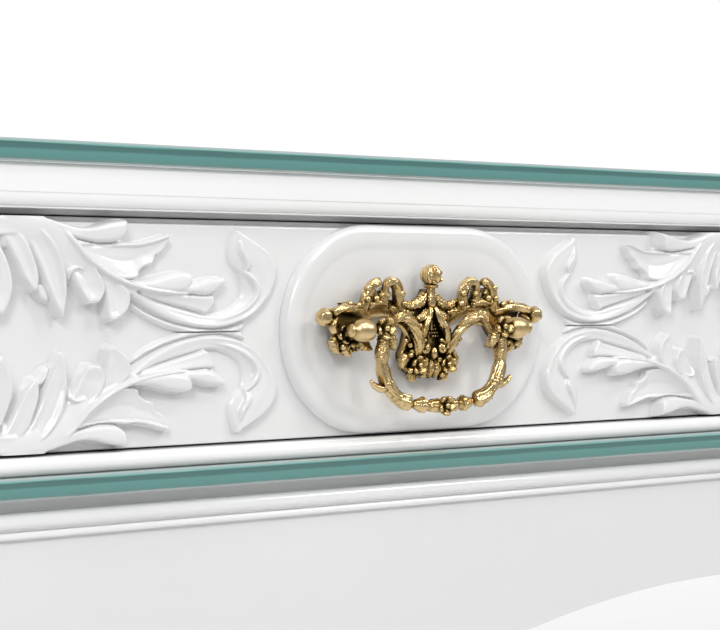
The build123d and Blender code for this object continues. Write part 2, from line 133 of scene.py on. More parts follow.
# ---------------------------------------------------------------- curves and surfaces
def spline(points, count):
    """A curve through points, evenly spaced along its length.

    Each span is the Catmull-Rom cubic of its two ends and their neighbours. Columns after the first three,
    such as a radius, are carried along with the curve and don't count in its length.
    """
    p = np.asarray(points, float)
    p = np.vstack([2 * p[0] - p[1], p, 2 * p[-1] - p[-2]])
    a, b, c, d = (p[i:len(p) - 3 + i, None] for i in range(4))
    t = np.linspace(0, 1, 20, endpoint=False)[None, :, None]
    span = 0.5 * (2 * b + (c - a) * t + (2 * a - 5 * b + 4 * c - d) * t**2 + (3 * b - a - 3 * c + d) * t**3)
    fine = np.vstack([span.reshape(-1, p.shape[1]), p[-2]])
    step = np.linalg.norm(np.diff(fine[:, :3], axis=0), axis=1)
    length = np.concatenate([[0], np.cumsum(step)])
    even = np.linspace(0, length[-1], count)
    return np.stack([np.interp(even, length, fine[:, k]) for k in range(fine.shape[1])], axis=1)


def stations(values, count):
    """Values at equal steps from 0 to 1, eased between by a cosine."""
    values = np.atleast_1d(np.asarray(values, float))
    x = np.linspace(0, len(values) - 1, count)
    i = np.minimum(x.astype(int), max(len(values) - 2, 0))
    ease = (1 - np.cos(pi * (x - i))) / 2
    return values[i] + (values[np.minimum(i + 1, len(values) - 1)] - values[i]) * ease


def unit(vectors):
    size = np.linalg.norm(vectors, axis=-1, keepdims=True)
    return vectors / np.maximum(size, 1e-9)


def volume(skin):
    """The signed volume of a closed skin: the sum of a.(b x c) / 6 over its triangles."""
    points, quads, tris = skin
    corners = np.vstack([quads[:, :3], quads[:, [0, 2, 3]], tris])
    a, b, c = (points[corners[:, m]] - points.mean(axis=0) for m in range(3))
    return np.einsum("ij,ij->", a, np.cross(b, c)) / 6


def flipped(skin):
    """The skin with its faces turned round."""
    points, quads, tris = skin
    return points, quads[:, ::-1], tris[:, ::-1]


def shell(rings, closed=False):
    """A closed skin over rings[n, k, 3]: each ring joins the next, and each end is a fan to its middle.

    If closed, the last ring joins the first instead. The faces are turned outwards, which is where the volume
    inside them is positive.
    """
    n, k, _ = rings.shape
    i, j = np.meshgrid(np.arange(n if closed else n - 1), np.arange(k), indexing="ij")
    i2, j2 = (i + 1) % n, (j + 1) % k
    quads = np.stack([i * k + j, i2 * k + j, i2 * k + j2, i * k + j2], axis=-1).reshape(-1, 4)
    points = rings.reshape(-1, 3)
    tris = np.zeros((0, 3), int)
    if not closed:
        points = np.vstack([points, rings[0].mean(axis=0), rings[-1].mean(axis=0)])
        a = np.arange(k)
        b = (a + 1) % k
        first = np.stack([np.full(k, n * k), a, b], axis=1)
        last = np.stack([np.full(k, n * k + 1), (n - 1) * k + b, (n - 1) * k + a], axis=1)
        tris = np.vstack([first, last])
    skin = (points, quads, tris)
    return skin if volume(skin) >= 0 else flipped(skin)


def mirrored(skin):
    """The skin's reflection from right to left, with its faces turned outwards again."""
    return flipped((skin[0] * [-1, 1, 1], *skin[1:]))


def placed(skin, place):
    """The skin with its points sent through place, keeping its faces."""
    points, quads, tris = skin
    return place(points), quads, tris


def add_piece(name, skins, material, body, replaces, crease=38, tags=None):
    """One mesh object made of skins in millimetres, smooth but where faces meet at over crease degrees."""
    points, faces, start = [], [], 0
    for p, quads, tris in skins:
        points.append(p)
        faces += (quads + start).tolist() + (tris + start).tolist()
        start += len(p)
    mesh = bpy.data.meshes.new(name)
    mesh.from_pydata((np.vstack(points) * MM).tolist(), [], faces)
    mesh.validate()
    mesh.shade_smooth()
    mesh.set_sharp_from_angle(angle=radians(crease))
    mesh.materials.append(material)
    if tags is not None:
        layer = mesh.attributes.new("edge", "FLOAT", "POINT")
        layer.data.foreach_set("value", np.asarray(tags, np.float32))
    piece = bpy.data.objects.new(name, mesh)
    bpy.context.scene.collection.objects.link(piece)
    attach(piece, body)
    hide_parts(*replaces)


# ---------------------------------------------------------------- finishes
def new_material(name):
    material = bpy.data.materials.new(name)
    material.use_nodes = True
    tree = material.node_tree
    shader = tree.nodes["Principled BSDF"]
    return material, tree, shader


def noise(tree, scale, detail=3.0, roughness=0.5, stretch=(1, 1, 1)):
    """Noise on Object coordinates. scale is cells per metre."""
    coords = tree.nodes.new("ShaderNodeTexCoord")
    mapping = tree.nodes.new("ShaderNodeMapping")
    mapping.inputs["Scale"].default_value = stretch
    field = tree.nodes.new("ShaderNodeTexNoise")
    field.inputs["Scale"].default_value = scale
    field.inputs["Detail"].default_value = detail
    field.inputs["Roughness"].default_value = roughness
    tree.links.new(coords.outputs["Object"], mapping.inputs["Vector"])
    tree.links.new(mapping.outputs["Vector"], field.inputs["Vector"])
    return field.outputs["Fac"]


def ramp(tree, source, stops):
    """A colour ramp over stops of (position, colour)."""
    node = tree.nodes.new("ShaderNodeValToRGB")
    elements = node.color_ramp.elements
    while len(elements) < len(stops):
        elements.new(0.5)
    for element, (position, colour) in zip(elements, stops):
        element.position = position
        element.color = (*colour, 1.0)
    tree.links.new(source, node.inputs["Fac"])
    return node.outputs["Color"]


def bump(tree, shader, height, strength, distance):
    node = tree.nodes.new("ShaderNodeBump")
    node.inputs["Strength"].default_value = strength
    node.inputs["Distance"].default_value = distance
    tree.links.new(height, node.inputs["Height"])
    tree.links.new(node.outputs["Normal"], shader.inputs["Normal"])


def shade(colour, factor):
    return tuple(min(c * factor, 1.0) for c in colour)


def lacquer_finish(name="white_lacquer", tone=0.98):
    """White gloss lacquer: a faint cloudiness in the colour and the slow ripple that spraying leaves. tone makes
    lit and shaded copies of the one lacquer: at 0.98 it is a little darker, as painted shade on the drawer,
    carving, legs and mirror, and at 1.12 it is brighter, as painted light on the boards and moulding.
    """
    material, tree, shader = new_material(name)
    # painted light and shade: tone scales the lacquer's colour, above 1 for a lit copy and below 1 for a shaded
    # one
    colour = shade(settings().lacquer, tone)
    cloud = noise(tree, 9.0, 2.0)
    tree.links.new(ramp(tree, cloud, [(0.3, shade(colour, 0.985)), (0.7, shade(colour, 1.01))]),
                   shader.inputs["Base Color"])
    shader.inputs["Roughness"].default_value = settings().lacquer_roughness
    shader.inputs["Coat Weight"].default_value = 0.55
    shader.inputs["Coat Roughness"].default_value = 0.035
    bump(tree, shader, noise(tree, 260.0, 1.0, 0.4), 0.12, 0.0004)
    return material


def gold_finish(name="antique_gold", grain=0.3, polish=0.17):
    """Cast gold-coloured metal: bright where it is rubbed, brown in its hollows, grained by the mould. The colour
    follows ambient occlusion: the brown is patina deepened as painted shade in the recesses, and the top stop,
    paler than the gold on the most open points, is a painted highlight as well as rubbed wear.
    """
    material, tree, shader = new_material(name)
    gold, patina_and_shade = tuple(settings().gold), tuple(settings().patina_and_shade)
    # painted shade: ambient occlusion darkens the colour in the creases, over the real patina
    hollow = tree.nodes.new("ShaderNodeAmbientOcclusion")
    hollow.samples = 8
    hollow.inputs["Distance"].default_value = 0.0055
    grime = noise(tree, 420.0, 4.0, 0.6)
    mix = tree.nodes.new("ShaderNodeMath")
    mix.operation = "MULTIPLY_ADD"
    mix.inputs[1].default_value = 0.34
    tree.links.new(grime, mix.inputs[0])
    offset = tree.nodes.new("ShaderNodeMath")
    offset.operation = "SUBTRACT"
    offset.inputs[1].default_value = 0.17
    tree.links.new(hollow.outputs["AO"], offset.inputs[0])
    tree.links.new(offset.outputs[0], mix.inputs[2])
    wear_and_shade = mix.outputs[0]
    middle = tuple(0.5 * g + 0.5 * p for g, p in zip(gold, patina_and_shade))
    # the top stop is paler than the gold: rubbed wear and a painted highlight on the most open points
    stops = [(0.42, patina_and_shade), (0.70, middle), (0.88, gold), (1.0, tuple(g + 0.14 for g in gold))]
    tree.links.new(ramp(tree, wear_and_shade, stops), shader.inputs["Base Color"])
    rough = ramp(tree, wear_and_shade, [(0.35, (0.5, 0.5, 0.5)), (0.85, (polish, polish, polish))])
    tree.links.new(rough, shader.inputs["Roughness"])
    shader.inputs["Metallic"].default_value = 1.0
    bump(tree, shader, noise(tree, 780.0, 3.0, 0.6), grain, 0.0006)
    return material


def glass_finish():
    """Float glass: a clear sheet, nearly all see-through, with a polished edge that gathers its green tint.

    The attribute edge is 0 on the sheet, and on the edge it runs from 1 at the bottom arris to 2 at the top. Along
    the edge the green is painted in bands of light and shade: pale painted highlights on both arrises and a
    lighter band under the top one, a painted shade over the upper half, and a lighter lower half.
    """
    material, tree, shader = new_material("float_glass")
    edge = tree.nodes.new("ShaderNodeAttribute")
    edge.attribute_name = "edge"
    tint = tuple(settings().glass_edge)
    streak = noise(tree, 30.0, 2.0, 0.5, (1.2, 1.2, 55))
    shift = tree.nodes.new("ShaderNodeMath")
    shift.operation = "MULTIPLY_ADD"
    shift.inputs[1].default_value = 0.10
    tree.links.new(streak, shift.inputs[0])
    tree.links.new(edge.outputs["Fac"], shift.inputs[2])
    half = tree.nodes.new("ShaderNodeMath")
    half.operation = "MULTIPLY"
    half.inputs[1].default_value = 0.5
    tree.links.new(shift.outputs[0], half.inputs[0])
    # painted light: the edge colour is darkened on its upper half as painted shade and paled on its arrises as
    # painted highlights
    painted_edge_shade, painted_arris_highlight = shade(tint, 0.68), tuple(0.45 * c + 0.36 for c in tint)
    stops = [
        (0.05, (0.72, 0.84, 0.81)), (0.5, painted_arris_highlight), (0.555, painted_arris_highlight), (0.575, shade(tint, 0.85)), (0.61, tint),
        (0.78, shade(tint, 1.12)), (0.82, painted_edge_shade), (0.92, shade(painted_edge_shade, 0.92)), (0.945, shade(tint, 1.5)),
        (1.0, painted_arris_highlight),
    ]
    tree.links.new(ramp(tree, half.outputs[0], stops), shader.inputs["Base Color"])
    solid = ramp(tree, edge.outputs["Fac"], [(0.02, (0.3, 0.3, 0.3)), (0.3, (1, 1, 1))])
    tree.links.new(solid, shader.inputs["Alpha"])
    shader.inputs["Roughness"].default_value = 0.03
    shader.inputs["IOR"].default_value = 2.0
    bump(tree, shader, streak, 0.01, 0.0001)
    return material


def mirror_finish():
    """Silvered glass, with a trace of waviness."""
    material, tree, shader = new_material("silvered_glass")
    tone = noise(tree, 4.0, 1.0)
    tree.links.new(ramp(tree, tone, [(0.3, (0.9, 0.915, 0.91)), (0.7, (0.93, 0.94, 0.94))]),
                   shader.inputs["Base Color"])
    shader.inputs["Metallic"].default_value = 1.0
    shader.inputs["Roughness"].default_value = 0.02
    bump(tree, shader, tone, 0.02, 0.0002)
    return material


def plain_finish(name, colour, metallic, roughness, grain, stretch=(1, 1, 1), depth=0.0002, spread=0.09):
    """A finish with a grain: noise that varies the colour a little and lifts the surface."""
    material, tree, shader = new_material(name)
    field = noise(tree, grain, 4.0, 0.6, stretch)
    stops = [(0.25, shade(colour, 1 - spread)), (0.75, shade(colour, 1 + spread / 2))]
    tree.links.new(ramp(tree, field, stops), shader.inputs["Base Color"])
    shader.inputs["Metallic"].default_value = metallic
    shader.inputs["Roughness"].default_value = roughness
    bump(tree, shader, field, 0.3, depth)
    return material


FINISHES = {}


def finish(name):
    """Each finish is made once and shared."""
    makers = {
        "white_lacquer": lacquer_finish,
        # the same lacquer painted brighter, tone 1.12, as painted light on the boards and moulding
        "board_lacquer_painted_light": lambda: lacquer_finish("board_lacquer_painted_light", 1.12),
        "antique_brass": gold_finish,
        "satin_brass": lambda: gold_finish("satin_gold", 0.06, 0.3),
        "glass": glass_finish,
        "looking_glass": mirror_finish,
        "board": lambda: plain_finish("coated_board", (0.74, 0.73, 0.70), 0.0, 0.45, 160.0, (1, 8, 1)),
        "steel": lambda: plain_finish("zinc_steel", (0.62, 0.63, 0.65), 1.0, 0.32, 300.0, (1, 12, 1)),
        "backing": lambda: plain_finish("grey_backing", (0.42, 0.40, 0.37), 0.0, 0.7, 220.0),
        "white_steel": lambda: plain_finish("powder_coat", (0.82, 0.82, 0.81), 0.0, 0.35, 900.0),
        "nylon": lambda: plain_finish("nylon", (0.7, 0.7, 0.69), 0.0, 0.5, 500.0),
    }
    if name not in FINISHES:
        FINISHES[name] = makers[name]()
    return FINISHES[name]


# ---------------------------------------------------------------- boards and glass
PER_CORNER = 9


def round_plan(half_x, half_y, corner, inset):
    """Points round a rounded rectangle, moved inwards by inset, the same number whatever the inset.

    Each corner is a quarter circle about its own centre, and the straights get points at even steps.
    """
    radius = max(corner - inset, 0.05)
    cx, cy = half_x - inset - radius, half_y - inset - radius
    points = []
    for quarter, (sx, sy) in enumerate([(1, 1), (-1, 1), (-1, -1), (1, -1)]):
        angle = pi / 2 * quarter + np.linspace(0, pi / 2, PER_CORNER)
        points.append(np.stack([sx * cx + radius * np.cos(angle), sy * cy + radius * np.sin(angle)], axis=1))
    return np.vstack(points)


def profile_board(half_x, half_y, corner, profile, closed=False):
    """A board whose edge follows profile, a list of (inset, height): each point of it makes one ring.

    If closed, the profile itself is a closed loop, and the result is a moulding with nothing in its middle.
    """
    rings = []
    for inset, height in profile:
        loop = round_plan(half_x, half_y, corner, inset)
        rings.append(np.column_stack([loop, np.full(len(loop), height)]))
    return shell(np.array(rings), closed)


def arc(centre_inset, centre_height, radius, start, end, steps=9):
    """Profile points on a circle. The angle is 0 where the edge faces outwards and 90 degrees upwards."""
    angle = np.radians(np.linspace(start, end, steps))
    return list(zip(centre_inset - radius * np.cos(angle), centre_height + radius * np.sin(angle)))


def make_glass(name, low, high, node):
    """A sheet with bevelled arrises on its edge, tagged so that the finish can tell edge from sheet."""
    half_x, half_y = high[0], high[1]
    z0, z1 = low[2], high[2]
    arris = 1.05
    profile = [(arris + 0.35, z0 + 0.04), (arris, z0 + 0.02), (0.12, z0 + arris), (0, z0 + arris + 0.15)]
    profile += [(0, z0 + f * (z1 - z0)) for f in (0.3, 0.5, 0.7)]
    profile += [(0, z1 - arris - 0.15), (0.12, z1 - arris), (arris, z1), (arris + 0.35, z1)]
    skin = profile_board(half_x, half_y, 6, profile)
    count = len(skin[0]) - 2
    heights = skin[0][:count, 2]
    ring = np.repeat(np.arange(len(profile)), count // len(profile))
    tags = 1 + (heights - z0) / (z1 - z0)
    tags[(ring == 0) | (ring == len(profile) - 1)] = 0
    tags = np.concatenate([tags, [0, 0]])
    add_piece(name, [skin], finish("glass"), "table", [node], crease=20, tags=tags)


def make_boards():
    """Top board: a flat fascia over a receding quarter round. Bottom board: a full round lip."""
    half_x, half_y = BOARD_HIGH[0], BOARD_HIGH[1]
    z0, z1 = BOARD_Z, BOARD_HIGH[2]
    lip = [(9.0, z0), (3.3, z0), (2.9, z0 + 0.15), (2.75, z0 + 0.5), (3.0, z0 + 0.75)]
    lip += [(0.35 + 2.75 * (1 - cos(a)), z0 + 5.3 - 4.4 * sin(a)) for a in np.radians(np.linspace(88, 0, 12))]
    fascia = lip + [(0.3, z0 + 5.5), (0.05, z0 + 5.7), (0, z0 + 6), (0, z1 - 1.2)]
    fascia += arc(0.6, z1 - 0.6, 0.6, 0, 90, 4) + [(3, z1)]
    strip_x = FRONT_HIGH[0] + 1
    section = ((FACE_Y + 6, z0 + 1), (FACE_Y + 6, z0 - 1.3), (FACE_Y + 6.4, z0 - 1.7),
               (FACE_Y + 16, z0 - 1.7), (FACE_Y + 16, z0 + 1))
    strip = shell(np.array([[(x, y, z) for y, z in section] for x in (-strip_x, strip_x)]))
    # painted light: the top board takes the lacquer painted brighter
    add_piece("top_board_lacquered", [profile_board(half_x, half_y, 7, fascia), strip],
              finish("board_lacquer_painted_light"), "table", ["top_board"])
    half_x, half_y = LIP_HIGH[0], LIP_HIGH[1]
    z0, z1 = LIP_LOW[2], LIP_HIGH[2]
    radius = (z1 - z0) / 2 - 0.02
    roll = [(9, z0)] + arc(radius, (z0 + z1) / 2, radius, -90, 90, 17) + [(9, z1)]
    # painted light: the bottom board takes the lacquer painted brighter
    add_piece("bottom_board_lacquered", [profile_board(half_x, half_y, 5, roll)], finish("board_lacquer_painted_light"),
              "table", ["bottom_board"])


def make_moulding():
    """The strip round the frame: a large roll, a fillet and a bead, carried round as a closed ring."""
    half_x, half_y = MOULDING_HIGH[0], MOULDING_HIGH[1]
    z0, z1 = MOULDING_LOW[2], MOULDING_HIGH[2]
    depth = half_x - STILE_HIGH[0]
    profile = [(depth + 3, z1 - 0.05), (depth - 1.4, z1)] + arc(2.9, z1 - 2.9, 2.9, 90, -78, 15)
    profile += [(2.9, z1 - 6.1), (2.9, z1 - 6.7)] + arc(4.1, z1 - 8.3, 1.5, 75, -90, 9) + [(depth + 3, z0)]
    skin = profile_board(half_x, half_y, 4, profile, closed=True)
    # painted light: the moulding takes the lacquer painted brighter
    add_piece("frame_moulding", [skin], finish("board_lacquer_painted_light"), "table", ["apron_moulding"])


# ---------------------------------------------------------------- drawer front with its oval pad
def make_drawer_front():
    """A panel whose top edge is rebated, and an oval pad on it.

    The pad's edge profile is carried round two half circles and two straights.
    """
    half_x = FRONT_HIGH[0]
    back = FRONT_HIGH[1]

    def upright(skin):
        return placed(skin, lambda p: np.column_stack([p[:, 0], p[:, 2], p[:, 1] + MID_Z]))

    ease = arc(0.9, -FACE_Y - 0.9, 0.9, 0, 90, 5)
    edge = [(1, FACE_Y + 6), (0, FACE_Y + 5)] + [(i, -h) for i, h in ease] + [(8, FACE_Y)]
    face = profile_board(half_x, HALF_FRONT - REBATE / 2, 1.0, edge)
    core = profile_board(half_x, HALF_FRONT, 1.0, [(1, back), (0, back - 1), (0, FACE_Y + 4),
                                                   (1, FACE_Y + 3)])
    panel = [placed(upright(face), lambda p: p - [0, 0, REBATE / 2]), upright(core)]
    radius, straight = 41.7, 25.8
    angle = np.concatenate([np.linspace(-90, 90, 49), np.linspace(90, 270, 49)])
    side = np.repeat([1, -1], 49)
    top = FACE_Y - PAD_Y
    edge = [(0.4, -0.5), (0.1, 0.2), (0.0, 0.8)]
    edge += [(3.4 - 3.4 * cos(a), 0.8 + (top - 0.8) * sin(a)) for a in np.radians(np.linspace(8, 90, 12))]
    edge += [(5, top), (6.6, top - 0.06), (8.0, top - 0.25), (9.2, top - 0.55), (10, top - 0.68),
             (10.8, top - 0.7)]
    edge += [(13, top - 0.7), (20, top - 0.68), (32, top - 0.66)]
    rings = []
    for inset, rise in edge:
        r = radius - inset
        x = side * straight + r * np.cos(np.radians(angle))
        z = MID_Z + r * np.sin(np.radians(angle))
        rings.append(np.column_stack([x, np.full(len(x), FACE_Y - rise), z]))
    pad = shell(np.array(rings))
    add_piece("drawer_front_panel", [*panel, pad], finish("white_lacquer"), "drawer", ["drawer_front"])


# ---------------------------------------------------------------- carved leaves
def petal(upper, lower, crown, crest=0.5, nose=0.0, veins=(), samples=64, across=20, lip=0.75, base=-0.7,
          tuck=1.1):
    """A lobe of carving between two edge curves, as a closed skin.

    Its top is the straight line from one edge to the other, plus crown times (4w(1-w))^0.75, where w is the
    position across, bent so that the highest line lies at crest. Veins are narrow dips exp(-(t-t0)^2/s^2)
    along it. Past each edge the surface rolls over a quarter circle of radius lip and goes down, drawn in by
    tuck, to base. nose pushes the middle of the far end forwards.
    """
    a, b = spline(upper, samples), spline(lower, samples)
    t = np.linspace(0, 1, across)
    w = t ** (log(0.5) / log(crest))
    swell = (4 * w * (1 - w)) ** 0.75
    along = np.linspace(0, 1, samples)
    top = a[:, None] + (b - a)[:, None] * t[None, :, None]
    top[..., 2] += stations(crown, samples)[:, None] * swell
    for place, depth, width in veins:
        fade = np.sin(pi * np.clip(along * 1.15, 0, 1)) ** 0.6
        top[..., 2] -= depth * fade[:, None] * np.exp(-(((t - place) / width) ** 2))[None, :]
    spine = unit(np.gradient((a + b)[:, :2] / 2, axis=0))
    push = nose * np.clip((along - 0.72) / 0.28, 0, 1) ** 2
    top[..., :2] += push[:, None, None] * swell[None, :, None] * spine[:, None, :]
    gap = np.linalg.norm((a - b)[:, :2], axis=1)
    side = unit((a - b)[:, :2])
    r = np.minimum(lip, gap * 0.3)
    draw = np.minimum(tuck, gap * 0.25)

    def wall(edge, direction, order):
        rise = edge[:, 2]
        steps = [(r * sin(q), r * (1 - cos(q))) for q in np.radians([28, 56, 90])]
        steps += [(r * 0.8 - draw * 0.4, (rise - base) * 0.55), (-draw, rise - base)]
        rows = []
        for out, down in steps:
            point = edge.copy()
            point[:, :2] += direction * np.asarray(out)[:, None]
            point[:, 2] -= down
            rows.append(point)
        return np.stack(rows[::order], axis=1)

    rings = np.concatenate([wall(top[:, 0], side, -1), top, wall(top[:, -1], -side, 1)], axis=1)
    end = rings[-1]
    ahead = np.append(spine[-1], 0)
    middle = end.mean(axis=0)
    extra = []
    for reach, drop, shrink in [(0.35, 0.12, 0.985), (0.62, 0.45, 0.96), (0.72, 1.0, 0.94)]:
        ring = middle + (end - middle) * [shrink, shrink, 1] + ahead * reach * lip / 0.75
        ring[:, 2] = np.maximum(ring[:, 2] - drop * lip / 0.75, base)
        extra.append(ring)
    ring = middle + (end - middle) * [0.85, 0.85, 1] - ahead * 0.3
    ring[:, 2] = base
    extra.append(ring)
    return shell(np.concatenate([rings, np.array(extra)]))


